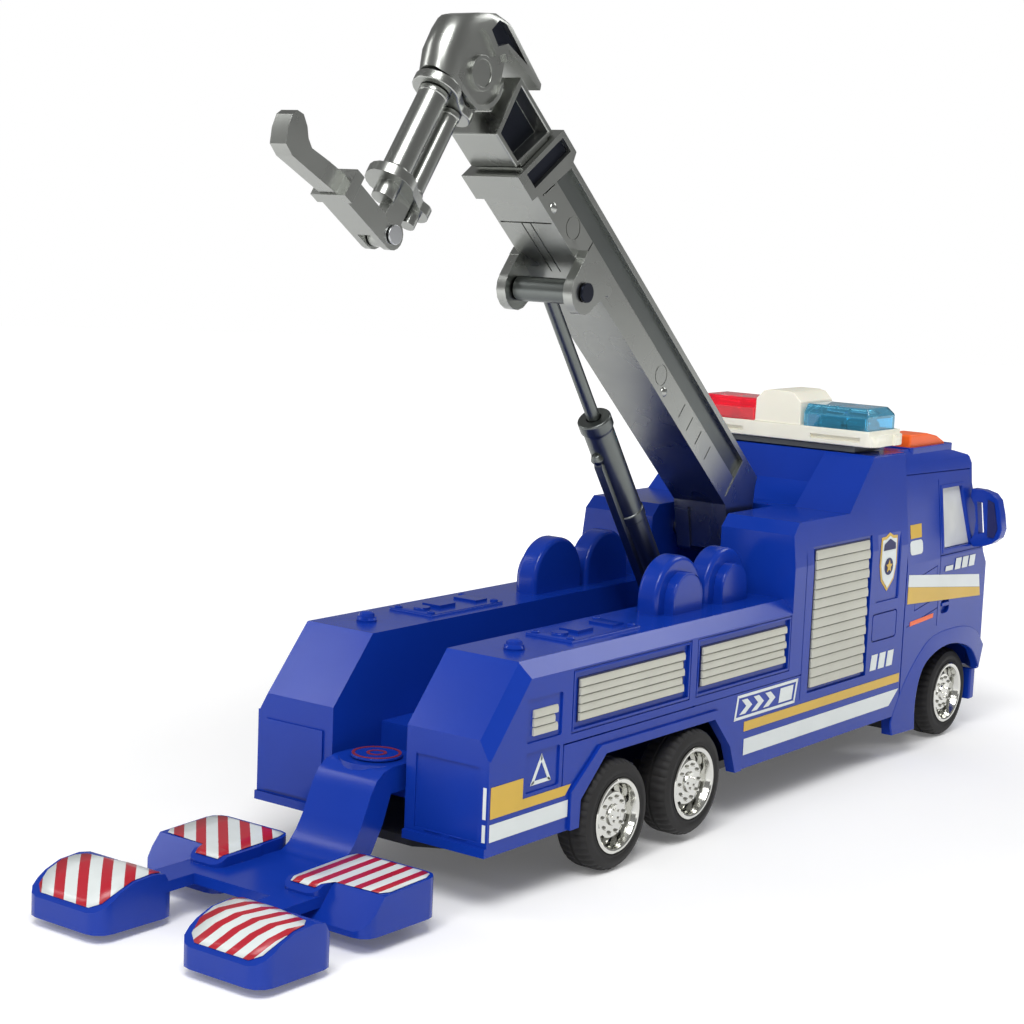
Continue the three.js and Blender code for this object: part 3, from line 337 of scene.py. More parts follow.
def skinned(rows, closed=True, looped=False):
    """Faces from each row of points to the next, with caps on whatever stays open.

    closed joins each row's end to its start; looped joins the last row to the first.
    """
    bm = bmesh.new()
    lines = [[bm.verts.new(point) for point in row] for row in rows]
    count = len(lines[0])
    following = lines[1:] + lines[:1] if looped else lines[1:]
    for one, two in zip(lines, following):
        for i in range(count if closed else count - 1):
            j = (i + 1) % count
            bm.faces.new((one[i], one[j], two[j], two[i]))
    if not looped:
        bm.faces.new(lines[0])
        bm.faces.new(lines[-1])
    if not closed:
        bm.faces.new([line[0] for line in lines])
        bm.faces.new([line[-1] for line in lines])
    return outward(bm)


def arc(cx, cz, r, a0, a1, steps):
    """Points along a circle's arc, between two angles in degrees."""
    out = []
    for i in range(steps + 1):
        a = math.radians(a0 + (a1 - a0) * i / steps)
        out.append((cx + r * math.cos(a), cz + r * math.sin(a)))
    return out


def rounded(a0, a1, b0, b1, r, steps=4):
    """A rectangle's outline with round corners."""
    out = arc(a1 - r, b0 + r, r, -90, 0, steps)
    out += arc(a1 - r, b1 - r, r, 0, 90, steps)
    out += arc(a0 + r, b1 - r, r, 90, 180, steps)
    out += arc(a0 + r, b0 + r, r, 180, 270, steps)
    return out


def moved(bm, x=0.0, y=0.0, z=0.0):
    bmesh.ops.translate(bm, verts=bm.verts, vec=(x, y, z))
    return bm


def changed(bm, matrix):
    bmesh.ops.transform(bm, matrix=matrix, verts=bm.verts)
    return bm


def mirrored(bm):
    """The same mesh on the truck's other side."""
    other = bm.copy()
    bmesh.ops.scale(other, vec=(1, -1, 1), verts=other.verts)
    bmesh.ops.reverse_faces(other, faces=other.faces)
    return other


def together(*meshes):
    """One mesh holding all of these."""
    out = bmesh.new()
    for bm in meshes:
        lump = bpy.data.meshes.new("lump")
        bm.to_mesh(lump)
        out.from_mesh(lump)
        bpy.data.meshes.remove(lump)
    return out


def both_sides(*meshes):
    """These meshes and their mirror images."""
    left = together(*meshes)
    return together(left, mirrored(left))


def cad(node):
    """A CAD node's mesh in drawing millimetres, its flat faces joined again."""
    bm = bmesh.new()
    bm.from_mesh(frame["nodes"][node].data)
    changed(bm, TO_ROW.inverted())
    bmesh.ops.remove_doubles(bm, verts=bm.verts, dist=0.004)
    flat(bm)
    return bm


def flat(bm, angle=0.6):
    """Joins the faces that lie in one plane, to within a small angle."""
    bmesh.ops.dissolve_limit(bm, angle_limit=math.radians(angle), verts=bm.verts[:], edges=bm.edges[:])


def new_object(name, bm):
    mesh = bpy.data.meshes.new(name)
    bm.to_mesh(mesh)
    obj = bpy.data.objects.new(name, mesh)
    bpy.context.scene.collection.objects.link(obj)
    return obj


def applied(obj):
    """An object's mesh with its modifiers, in place of the object."""
    made = bmesh.new()
    made.from_mesh(obj.evaluated_get(bpy.context.evaluated_depsgraph_get()).to_mesh())
    bpy.data.objects.remove(obj)
    return made


def combined(base, tool, operation):
    """Base with tool cut away or added, as one closed mesh."""
    a = new_object("base", base)
    b = new_object("tool", tool)
    modifier = a.modifiers.new("with_tool", "BOOLEAN")
    modifier.operation = operation
    modifier.solver = "EXACT"
    modifier.use_self = True
    modifier.object = b
    made = applied(a)
    bpy.data.objects.remove(b)
    bmesh.ops.remove_doubles(made, verts=made.verts, dist=0.003)
    flat(made)
    return made


def softened(bm, width, segments, angle):
    """The mesh with its sharp edges rounded."""
    bmesh.ops.remove_doubles(bm, verts=bm.verts[:], dist=0.002)
    flat(bm, 0.4)
    obj = new_object("sharp", bm)
    modifier = obj.modifiers.new("rounded_edges", "BEVEL")
    modifier.width = width
    modifier.segments = segments
    modifier.limit_method = "ANGLE"
    modifier.angle_limit = math.radians(angle)
    modifier.use_clamp_overlap = True
    return applied(obj)


def crease(mesh, least, angle=1.5):
    """Keeps the folds between two broad faces crisp; least is a broad face's width in millimetres."""
    bm = bmesh.new()
    bm.from_mesh(mesh)
    for edge in bm.edges:
        if len(edge.link_faces) == 2 and edge.calc_face_angle(0.0) > math.radians(angle):
            widths = [f.calc_area() / max(e.calc_length() for e in f.edges) for f in edge.link_faces]
            if min(widths) > least * MM:
                edge.smooth = False
    bm.to_mesh(mesh)


def put(
    name, bm, material, body="truck", slot=None, stands_for=(), bevel=0.0, segments=2, angle=SHARP, broad=0.0
):
    """Puts a mesh drawn in millimetres into the row frame as a finished piece."""
    kind = material.name.split(".")[0]  # without Blender's number
    slot = slot or SLOTS.get(kind, kind)
    if bevel:
        bm = softened(bm, bevel, segments, angle)
    changed(bm, TO_ROW)
    obj = new_object(name, bm)
    for face in obj.data.polygons:
        face.use_smooth = True
    obj.data.set_sharp_from_angle(angle=math.radians(angle))
    if broad:
        crease(obj.data, broad)
    obj.data.materials.append(material)
    shading = obj.modifiers.new("even_shading", "WEIGHTED_NORMAL")
    shading.keep_sharp = True
    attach(obj, body)
    if stands_for:
        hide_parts(*stands_for)
    return obj


def slot_of(node):
    return next(entry["material_slot"] for entry in frame["record"]["subparts"] if entry["node"] == node)


def body_of(node):
    return frame["nodes"][node]["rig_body"]


def refine(node, material, bevel=0.4, segments=2, cuts=None, adds=None, broad=0.0):
    """A CAD node's own shape with extra detail and rounded edges, shown in its place."""
    bm = cad(node)
    if adds is not None:
        bm = combined(bm, adds, "UNION")
    bm = softened(bm, bevel, segments, SHARP)
    if cuts is not None:
        bm = combined(bm, cuts, "DIFFERENCE")
    return put(node + "_shown", bm, material, body_of(node), slot_of(node), [node], broad=broad)


# ------ wheels
def tyre_mesh():
    """Tyre with rounded shoulders, a bead and two rows of tread blocks; outer side towards +Y."""
    w = TYRE_W
    r = TYRE_R
    crown = [(RIM_R + 0.1, 0.5), (RIM_R + 1.0, 0.1), (r - 2.6, 0.1), (r - 1.2, 0.7), (r - 0.35, 1.7)]
    crown += [(r - 0.02, 3.0), (r - 0.02, 5.4), (r - 0.6, 5.6), (r - 0.6, 6.4), (r - 0.02, 6.6)]
    crown += [(r - 0.02, w - 3.0), (r - 0.35, w - 1.7), (r - 1.2, w - 0.7), (r - 2.6, w - 0.15)]
    crown += [(r - 3.4, w - 0.1), (RIM_R + 1.5, w - 0.45), (RIM_R + 0.7, w - 0.2), (RIM_R + 0.1, w - 0.7)]
    crown += [(RIM_R + 0.1, 0.5)]
    steps = 160
    bm = turned(crown, steps)
    for v in bm.verts:
        d = math.hypot(v.co.x, v.co.z)
        turn = math.atan2(v.co.z, v.co.x) / (2 * math.pi) * 40
        notch = (turn % 1.0) < 0.3
        shoulder = d > r - 1.0 and (v.co.y < 4.2 or v.co.y > w - 4.2)
        if notch and shoulder:
            v.co.x *= (d - 0.55) / d
            v.co.z *= (d - 0.55) / d
    return bm


def rim_mesh():
    """Plated rim: polished lip, deep dish, a ring of hand holes, bolts and a hub cap."""
    w = TYRE_W
    r = RIM_R - 0.05
    barrel = [(r, 0.9), (r, w - 0.6), (r + 0.25, w - 0.1), (r - 0.1, w + 0.15), (r - 0.7, w + 0.15)]
    barrel += [(r - 1.2, w - 0.2), (r - 1.7, w - 1.6), (r - 2.3, w - 3.4), (r - 2.3, w - 4.6)]
    barrel += [(r - 1.5, 0.9), (r, 0.9)]
    lip = turned(barrel, 96)
    steps = 80
    rings = [(9.3, w - 3.7), (8.7, w - 3.0), (7.2, w - 2.2), (6.6, w - 1.9), (4.4, w - 1.8), (3.4, w - 1.9)]
    rings += [(3.1, w - 1.2), (2.2, w - 1.0), (0.6, w - 0.9), (0, w - 0.9)]
    disc = turned(rings + [(0, w - 5.0), (9.3, w - 5.0), rings[0]], steps)
    holes = []
    for k in range(10):
        a = 2 * math.pi * (k + 0.5) / 10
        hole = prism([(7.1, -0.75), (8.8, -1.15), (8.8, 1.15), (7.1, 0.75)], w - 7, w, "y")
        changed(hole, Matrix.Rotation(a, 4, "Y"))
        holes.append(hole)
    disc = combined(disc, together(*holes), "DIFFERENCE")
    bolts = []
    for k in range(10):
        a = 2 * math.pi * k / 10
        dome = [(0.62, w - 2.2), (0.62, w - 1.35), (0.42, w - 1.05), (0, w - 0.98)]
        bolt = turned([(0, w - 2.2)] + dome, 10)
        bolts.append(moved(bolt, 5.5 * math.cos(a), 0, 5.5 * math.sin(a)))
    for k in range(5):
        a = 2 * math.pi * (k + 0.5) / 5
        nut = turned([(0, w - 1.3), (0.45, w - 1.3), (0.45, w - 0.6), (0, w - 0.5)], 6)
        bolts.append(moved(nut, 1.9 * math.cos(a), 0, 1.9 * math.sin(a)))
    return together(lip, disc, *bolts)


def wheels():
    """Six tyres and rims, and the three axles."""
    tyre = tyre_mesh()
    rim = rim_mesh()
    for name, (x, z, face) in AXLES.items():
        for hand in HANDS:
            for kind, mesh, material in (("tyre", tyre, RUBBER), ("rim", rim, CHROME)):
                one = moved(mesh.copy(), x, face - TYRE_W, z)
                if hand == "right":
                    one = mirrored(one)
                label = f"{kind}_{name}_{hand}"
                put(label + "_shown", one, material, "wheels_" + name, stands_for=[label], angle=28)
        refine(f"axle_{name}", STEEL, 0.3)


wheels()


# ------ truck body
def groove(points, width, depth, side_y):
    """Cutter for a fine line on the truck's side, drawn through (x, z) points."""
    cutters = []
    for (xa, za), (xb, zb) in zip(points, points[1:]):
        d = Vector((xb - xa, zb - za)).normalized()
        n = Vector((-d.y, d.x)) * width / 2
        a = Vector((xa, za)) - d * width / 2
        b = Vector((xb, zb)) + d * width / 2
        corners = [a + n, a - n, b - n, b + n]
        cutters.append(prism([tuple(c) for c in corners], side_y - depth, side_y + 1, "y"))
    return together(*cutters)


def ring(outer, inner, lo, hi, along="y"):
    """A frame between two outlines with the same number of points."""
    corners = ((outer, lo), (outer, hi), (inner, hi), (inner, lo))
    rows = [[across(along, a, b, level) for a, b in outline] for outline, level in corners]
    return skinned(rows, looped=True)


def body_cuts():
    """Grooves and shallow panels of the body shell."""
    w = HALF_W
    # belt line and the panel lines of the sides
    seams = ([(-26, 42.8), (44.5, 42.8)], [(-26, 42.8), (-26, 30.8)], [(111.4, 88), (111.4, 34.5)])
    cuts = [groove(points, SEAM, 0.5, w) for points in seams]
    cuts.append(groove([(44.5, 42.8), (111.4, 42.8)], 0.35, 0.35, w))
    # small louvre, sign panel, badge panel and locker lid
    for x0, x1, z0, z1 in ((-44.2, -27.3, 46.1, 58.8), (-43.9, -27.8, 31.6, 43.4), (162.6, 180.2, 61, 87.2)):
        cuts.append(prism(rounded(x0, x1, z0, z1, 0.8, 3), SIGN_Y, w + 1, "y"))
    lid_outer = rounded(161, 180, 46.8, 57.2, 1.6)
    lid_inner = rounded(161.6, 179.4, 47.4, 56.6, 1.1)
    cuts.append(ring(lid_outer, lid_inner, SIGN_Y, w + 1))
    # frames around the long louvres
    for x0, x1 in ((-21.4, 40), (45.6, 102)):
        frames = []
        for edge in (1.1, 0.6):
            left, right, foot, top = x0 - edge, x1 + edge, 46.4 - edge, 63.2 + edge
            frames.append([(left, foot), (right, foot), (right, top), (left, top)])
        cuts.append(ring(*frames, w - 0.4, w + 1))
    sides = both_sides(*cuts)
    # rear faces: recessed panels
    rear = block(REAR_X - 0.6, REAR_X + 0.5, 17.5, 40, 20.6, 42)
    return together(sides, both_sides(rear))


def body_adds():
    """Raised detail of the body shell."""
    adds = []
    # tombstone bumps on the rear faces
    for y in (24.5, 33.5):
        outline = [(y + 3, 20.5)] + arc(y, 29, 3, 0, 180, 8) + [(y - 3, 20.5)]
        adds.append(prism(outline, REAR_X - 0.3, REAR_X + 0.8, "x"))
    # small hinge and latch blocks on the hatch plates
    top = DECK_Z + 0.6
    adds.append(block(-2, 6, 23, 30, top, top + 1.2))
    adds.append(prism(rounded(-9, -4, 24, 29, 2.2), top, top + 1.0, "z"))
    adds.append(block(15, 21, 22, 31, top, top + 0.9))
    for x0, x1, crown in HUMPS:
        adds += rounded_hump(x0, x1, crown)
    return both_sides(*adds)


def drum(mid, centre, radius, y0, y1, rim):
    """Round-topped drum standing on the deck, its rims rounded."""
    stations = []
    for k in range(5):
        a = math.pi / 2 * k / 4
        stations.append((y0 + rim * (1 - math.cos(a)), radius - rim + rim * math.sin(a)))
    for y, r in reversed(stations[:]):
        stations.append((y0 + y1 - y, r))
    foot = DECK_Z - 0.6
    rows = []
    for y, r in stations:
        outline = [(mid + r, foot)] + arc(mid, centre, r, 0, 180, 28) + [(mid - r, foot)]
        rows.append([(x, y, z) for x, z in outline])
    return skinned(rows)


def rounded_hump(x0, x1, crown):
    """A hump on the deck with a smaller boss on its outer side."""
    mid = (x0 + x1) / 2
    r = (x1 - x0) / 2
    centre = crown - r
    body = drum(mid, centre, r + 0.05, 19.9, 27.6, 1.6)
    boss = drum(mid, centre, r - 4.85, 25.5, 31.1, 0.9)
    return [body, boss]


def screw_head(r, x, y, z):
    """Cross-slotted screw head lying flat at height z."""
    head = turned([(0, 0), (r, 0), (r, 0.35), (r * 0.8, 0.6), (0, 0.7)], 24, "z")
    reach = r * 0.6
    cross = together(block(-reach, reach, -0.2, 0.2, 0.3, 2), block(-0.2, 0.2, -reach, reach, 0.3, 2))
    return moved(combined(head, cross, "DIFFERENCE"), x, y, z)


refine("body_shell", BLUE, 0.8, 3, cuts=body_cuts(), adds=body_adds(), broad=5)


def side_slats(name, nodes, x0, x1, z0, z1, count, notch):
    """Printed slats over a dark backing, on both sides, with a stepped front end."""
    floor_y = HALF_W - 0.7
    lip = HALF_W + 0.12
    backing = both_sides(block(x0 - 0.4, x1 + 0.4, floor_y - 0.18, floor_y, z0 - 0.3, z1 + 0.3))
    put(name + "_backing", backing, DARK_BLUE, slot="silver_print")
    step = (z1 - z0) / count
    slats = []
    for k in range(count):
        za = z0 + k * step + 0.14
        zb = z0 + (k + 1) * step - 0.14
        section = [(floor_y, za), (lip, za), (lip, za + step * 0.55), (lip - 0.28, zb), (floor_y, zb)]
        reach = x1 - (notch if k % 2 else 0)
        slats.append(prism(section, x0, reach, "x"))
    put(name, both_sides(*slats), SILVER, stands_for=nodes, bevel=0.1)


side_slats("shutters", ["shutter_left", "shutter_right"], 118, 156.4, 37.2, 84.6, 14, 0.8)
side_slats("louvres_rear", ["louvre_rear_left", "louvre_rear_right"], -18.6, 37.4, 48.5, 61, 5, 1.2)
side_slats("louvres_front", ["louvre_front_left", "louvre_front_right"], 47.9, 100.2, 48.5, 61, 5, 1.2)
side_slats("louvres_small", [], -41, -29.4, 47.8, 55.5, 3, 1.4)


def sticker(name, outlines, material, y0=HALF_W, slot=None):
    """Flat sticker pieces on both sides of the truck, from (x, z) outlines."""
    pieces = [prism(outline, y0 + LIFT, y0 + LIFT + DECAL, "y") for outline in outlines]
    put(name, both_sides(*pieces), material, slot=slot)


def outline_strip(points, width):
    """A closed line of points drawn as a strip of that width, one outline per side."""
    out = []
    n = len(points)
    middle = Vector((sum(p[0] for p in points) / n, sum(p[1] for p in points) / n))
    for i in range(n):
        a = Vector(points[i])
        b = Vector(points[(i + 1) % n])
        d = (b - a).normalized()
        inward = Vector((-d.y, d.x))
        if inward.dot(middle - a) < 0:
            inward = -inward
        corners = [a, b, b + (inward - d) * width, a + (inward + d) * width]
        out.append([tuple(corner) for corner in corners])
    return out


def body_stickers():
    """Bands, triangle sign, badge and plain marks on the body's sides."""
    rear_yellow = [(-60, 36.6), (-45.2, 36.6), (-45.2, 30.5), (-21.8, 30.5), (-24.6, 27.6), (-60, 27.6)]
    rear_white = [(-60, 26), (-23, 26), (-23, 21), (-60, 21)]
    mid_yellow = [(75.2, 32.6), (184.6, 32.6), (184.6, 29.4), (75.2, 29.4)]
    mid_white = [(75.6, 26.8), (184.6, 26.8), (177.6, 21.4), (75.6, 21.4)]
    sticker("yellow_bands", [rear_yellow, mid_yellow], YELLOW)
    sticker("white_bands", [rear_white, mid_white], PALE)
    # the bands turn the rear corner on the right-hand side
    back = REAR_X - LIFT
    bands = ((27.6, 36.6), (21, 26))
    corner = [block(back - DECAL, back, 0.6 - HALF_W, 1.7 - HALF_W, z0, z1) for z0, z1 in bands]
    put("corner_bands", together(*corner), PALE)
    # plain triangle outline in the sign panel
    triangle = [(-36, 42), (-41, 33.4), (-31, 33.4)]
    sticker("triangle_sign", outline_strip(triangle, 1.1), PALE, SIGN_Y)
    # plain shield: gold rim, pale field, dark cap, and a dark disc under a star
    mid = 171.4
    shield = [(mid, 85.6), (mid - 2.8, 84.4), (mid - 6, 84.2), (mid - 6.4, 74), (mid - 4.8, 68.4)]
    shield.append((mid, 64.4))
    shield += [(2 * mid - x, z) for x, z in reversed(shield[1:-1])]
    field = [(mid + (x - mid) * 0.86, 75 + (z - 75) * 0.89) for x, z in shield]
    cap = [(mid, 83.4), (mid - 4.2, 81.6), (mid - 4.5, 79.4), (mid + 4.5, 79.4), (mid + 4.2, 81.6)]
    disc = arc(mid, 73.4, 3.1, 0, 345, 23)
    star = []
    for k in range(10):
        r = 1.1 if k % 2 else 2.4
        a = math.pi * k / 5
        star.append((mid + r * math.sin(a), 73.4 + r * math.cos(a)))
    step = DECAL + LIFT
    sticker("badge_rim", [shield], YELLOW, SIGN_Y)
    sticker("badge_field", [field], PALE, SIGN_Y + step)
    sticker("badge_marks", [cap, disc], DARK_BLUE, SIGN_Y + 2 * step, "blue_plastic")
    sticker("badge_star", [star], YELLOW, SIGN_Y + 3 * step)
    # plain frame with chevrons and three slanted blocks where the truck carries its printed marks
    frame_line = outline_strip([(70.4, 41.9), (109.4, 41.9), (107.6, 33.8), (68.6, 33.8)], 0.9)
    marks = [[(98, 40.2), (106.4, 40.2), (105.4, 35.4), (97, 35.4)]]
    for x in (73, 80.5, 88):
        tip = [(x + 3.4, 40.2), (x + 6.6, 37.8), (x + 2.4, 35.4)]
        marks.append([(x, 40.2)] + tip + [(x - 1, 35.4), (x + 3, 37.8)])
    for x in (161.2, 167.4, 173.6):
        marks.append([(x + 1, 42.2), (x + 5.4, 42.2), (x + 4.4, 36.6), (x, 36.6)])
    sticker("side_marks", frame_line + marks, PALE)


def deck_fittings():
    """Mushroom studs on the decks and screws on the hatch plates."""
    profile = [(0, 0), (3.1, 0), (3.2, 0.5), (2.5, 0.9), (2.4, 1.9), (2.2, 2.5), (1.4, 2.95), (0, 3.1)]
    studs = moved(turned(profile, 40, "z"), -31, 28, DECK_Z)
    screws = [screw_head(1.3, x, y, DECK_Z + 0.8) for x in (-10, 22) for y in (20, 33)]
    put("deck_studs", both_sides(studs), BLUE, angle=40)
    put("deck_screws", both_sides(*screws), BLUE)


body_stickers()
deck_fittings()


# ------ cab
def side_y(z):
    """Half width of the cab at height z, where its sides lean in."""
    if z <= 72:
        return HALF_W
    return HALF_W - (z - 72) * (HALF_W - 39.7) / 36


def laid(outline, lift):
    """Points of an (x, z) outline on the leaning side of the cab, or lifted off it."""
    return [(x, side_y(z) + lift, z) for x, z in outline]


def leaning(outline, lift):
    """A sticker on the leaning side of the cab."""
    return skinned([laid(outline, lift), laid(outline, lift + DECAL)])


def cab_cuts():
    """Door gaps, panel lines, grille slots and headlight seats."""
    w = HALF_W
    cuts = [groove([(213.2, 101), (213.2, 46.6)], SEAM, 4.5, w)]
    cuts.append(groove([(194, 66.2), (211, 69.4), (211, 57.2), (194, 54.4), (194, 66.2)], 0.35, 0.4, w))
    cuts.append(groove([(188.6, 49), (212.8, 53.2)], 0.35, 0.4, w))
    cuts.append(groove([(213.2, 72.8), (248, 72.8)], 0.35, 0.5, w))
    cuts.append(groove([(187.5, 104.6), (240, 103.4)], 0.4, 0.5, side_y(104)))
    # recess behind the door handle
    cuts.append(prism(rounded(215.4, 223, 50.4, 56, 2.4), w - 1.3, w + 1, "y"))
    sides = both_sides(*cuts)
    front = []
    for z in (31, 35.5, 40, 44.5, 49):
        front.append(block(254, 260, -20, 20, z, z + 2.4))
    for y in (24.5, -37.5):
        front.append(prism(rounded(y, y + 13, 28.5, 41, 2.4), 255.2, 262, "x"))
    front.append(block(245, 262, -31, 31, 63.4, 64))
    return together(sides, *front)


def arch_band():
    """Flared lip over a front wheel; its wide rear leg hangs behind the wheel."""
    outer = [(182.2, 9.4), (181.0, 16.2), (190.0, 29.1), (201.6, 38.7), (212.5, 43.2), (233.8, 43.7)]
    inner = [(198.7, 9.2), (197.9, 18.5), (200.0, 27.6), (205.5, 33.8), (217.7, 37.5), (231.0, 37.4)]
    outer = smooth_path(outer + [(247.6, 40.6), (256.4, 33.4)], 5)
    inner = smooth_path(inner + [(244.0, 33.2), (251.6, 25.0)], 5)
    corners = ((outer, 42.6), (outer, 43.6), (inner, 44.4), (inner, 42.6))
    rows = [[(x, y, z) for x, z in outline] for outline, y in corners]
    return skinned(rows, closed=False, looped=True)


def smooth_path(points, steps):
    """A smooth curve through points, by Catmull-Rom."""
    out = []
    ext = [points[0]] + list(points) + [points[-1]]
    for i in range(1, len(ext) - 2):
        p0, p1, p2, p3 = (Vector(p) for p in ext[i - 1:i + 3])
        for k in range(steps):
            t = k / steps
            bend = (2 * p0 - 5 * p1 + 4 * p2 - p3) * t * t + (3 * p1 - p0 - 3 * p2 + p3) * t ** 3
            out.append(tuple(0.5 * (2 * p1 + (p2 - p0) * t + bend)))
    out.append(points[-1])
    return out


def cab():
    """Cab shell with its arch lips, window frames, handles, stickers, lamps, wipers, glass and bumper."""
    refine("cab_shell", BLUE, 0.9, 3, cuts=cab_cuts(), broad=5)
    put("front_arch_lips", both_sides(arch_band()), BLUE, bevel=0.4, segments=3)
    # window frame lips
    frame_out = [(214.7, 73.5), (241.2, 73.5), (233.9, 99.1), (214.7, 99.1)]
    frame_in = [(216.2, 75), (239.2, 75), (232.8, 97.6), (216.2, 97.6)]
    corners = ((frame_out, -0.5), (frame_out, 0.25), (frame_in, 0.25), (frame_in, -1.6))
    lip = skinned([laid(outline, lift) for outline, lift in corners], looped=True)
    put("window_lips", both_sides(lip), BLUE, bevel=0.2)
    # door handle bar
    handle = prism(rounded(216.4, 222.4, 53.2, 54.6, 0.6), HALF_W - 0.7, HALF_W + 0.3, "y")
    put("door_handles", both_sides(handle), BLUE, bevel=0.2)
    # bands, number plate and square on the cab sides
    pale_band = [(187.6, 68.4), (247.4, 62.2), (248.6, 57.2), (187.6, 64)]
    yellow_band = [(187.6, 63.9), (248.6, 57.1), (249.4, 53.7), (187.6, 57.6)]
    plate = rounded(188.4, 198.4, 75.4, 80.6, 1.6, 3)
    square = [(189, 86.4), (197.8, 86.4), (197.8, 81.4), (189, 81.4)]
    name_bars = [[(x, 70.6), (x + 4.6, 70.6), (x + 3.8, 66.4), (x - 0.8, 66.4)] for x in (226, 232, 238)]
    name_bars.append([(217.6, 68.4), (223.6, 68.4), (223.2, 66.6), (217.2, 66.6)])
    door_bar = [(191, 50.6), (209.6, 51.6), (209.4, 50), (190.8, 49)]
    pale = [leaning(pale_band, LIFT), leaning(plate, LIFT)]
    yellow = [leaning(yellow_band, LIFT), leaning(square, LIFT)]
    put("cab_pale_stickers", both_sides(*pale), PALE)
    put("cab_yellow_stickers", both_sides(*yellow), YELLOW)
    marks = [leaning(bar, 2 * LIFT + DECAL) for bar in name_bars]
    put("cab_name_bars", both_sides(*marks), PALE)
    put("cab_door_bars", both_sides(leaning(door_bar, LIFT)), ORANGE)
    # grille bars, headlights and wipers
    bars = [block(255.6, 256.9, -19.4, 19.4, z, z + 0.5) for z in (31.9, 36.4, 40.9, 45.4, 49.9)]
    put("grille_bars", together(*bars), DARK_PLATED, bevel=0.1)
    lamps = []
    for y in (25, -37):
        lamps.append(prism(rounded(y, y + 12, 29, 40.5, 2.2), 255.4, 256.9, "x"))
    put("headlights", together(*lamps), LAMP, bevel=0.5, segments=3)
    reflectors = []
    for y in (28.4, 34, -28.4, -34):
        bowl = turned([(0, 255.25), (2.3, 255.25), (2.3, 255.9), (1.2, 255.5), (0, 255.4)], 32, "x")
        reflectors.append(moved(bowl, 0, y, 34.8))
    put("headlight_bowls", together(*reflectors), CHROME)
    wipers = []
    for y in (-22, 4):
        wiper = block(0, 0.8, 0, 24, 0, 0.7)
        arm = Matrix.Translation((249.2, y, 74.6)) @ Matrix.Rotation(math.radians(10), 4, "X")
        wipers.append(changed(wiper, arm))
    put("wipers", together(*wipers), BLACK, bevel=0.15)
    refine("windscreen", GLAZING, 0.5)
    for hand in HANDS:
        refine("side_window_" + hand, SILVER_GLASS, 0.2)
    bumper_cuts = together(*[block(255, 262, y, y + 9, 15.2, 17) for y in (-21, -10, 1, 12)])
    refine("front_bumper", BLUE, 0.7, 3, cuts=bumper_cuts)


cab()


def mirrors():
    """Loop-shaped door mirrors with a glass face behind."""
    for hand in HANDS:
        outer = [(42.6, 96.2), (47.4, 96), (51.4, 94.9), (53.6, 92.6), (55, 87.4), (55.9, 81.8), (55, 78.4)]
        outer += [(52.2, 76), (48.6, 74.5), (44.4, 74), (43.1, 76), (44.6, 79), (45, 84), (44.2, 89.6)]
        loop = prism(outer + [(42.2, 92.8)], 237.9, 242.6, "x")
        hole = prism([(44.9, 91.4), (47.2, 91.2), (48.6, 80), (46.4, 79)], 230, 250, "x")
        loop = combined(loop, hole, "DIFFERENCE")
        glass = prism([(49.6, 92.6), (52.2, 91.6), (54.2, 82), (53, 78.4), (50.4, 78.4)], 237.4, 237.85, "x")
        if hand == "right":
            loop = mirrored(loop)
            glass = mirrored(glass)
        put(f"mirror_{hand}_shown", loop, BLUE, stands_for=[f"mirror_{hand}"], bevel=0.7, segments=3)
        put(f"mirror_{hand}_face", glass, DARK_BLUE, slot="blue_plastic")


mirrors()


# ------ light bar and buttons
def light_bar():
    """Cream housing on its foot, a lens each side over barrel reflectors, and the roof buttons."""
    slots = both_sides(block(160, 162.2, 14, 34, 117.6, 119.2), block(184.8, 188, 14, 34, 117.6, 119.2))
    notches = both_sides(block(160, 188, 37.4, 41, 120, 124), block(170, 178, 38.4, 41, 115, 124))
    refine("light_bar_housing", CREAM, 0.6, 3, cuts=together(slots, notches))
    refine("light_bar_foot", GREY, 0.4)
    for hand, material in (("left", RED_LENS), ("right", BLUE_LENS)):
        parting = both_sides(block(160, 187, 22, 22.6, 128.6, 130))
        refine("lens_" + hand, material, 0.8, 3, cuts=parting)
        bowls = [block(164.4, 182.2, 11.9, 34, 120.2, 121.2)]
        for y0, y1 in ((11.9, 22), (23.4, 34)):
            bowl = [(0, y0), (2.6, y0 + 0.3), (3.6, y0 + 1.6), (3.6, y1 - 1.6), (2.6, y1 - 0.3), (0, y1)]
            bowls.append(moved(turned(bowl, 40), 172.4, 0, 122.2))
        pieces = together(*bowls)
        if hand == "right":
            pieces = mirrored(pieces)
        node = "reflector_" + hand
        put(node + "_shown", pieces, CHROME, stands_for=[node])
    for hand in HANDS:
        refine("roof_button_" + hand, ORANGE, 0.9, 4)
    collar_outer = rounded(196, 230.4, 22.8, 37.2, 1.5)
    collar_inner = rounded(197.6, 228.8, 24.1, 35.9, 0.8)
    collar = ring(collar_outer, collar_inner, 110.4, 113.7, "z")
    put("button_collars", both_sides(collar), BLUE, bevel=0.2)


light_bar()


# ------ boom, head and fork
def rivet(r, rise, u, v, side):
    """Domed rivet on a side of the boom, at u along it and v across it."""
    cap = [(r * math.cos(a), rise * math.sin(a)) for a in (math.pi / 2 * k / 6 for k in range(7))]
    dome = turned([(0, -0.3), (r, -0.3)] + cap[:-1] + [(0, rise)], 28)
    if side < 0:
        dome = mirrored(dome)
    return changed(moved(dome, u, side, v), BOOM)


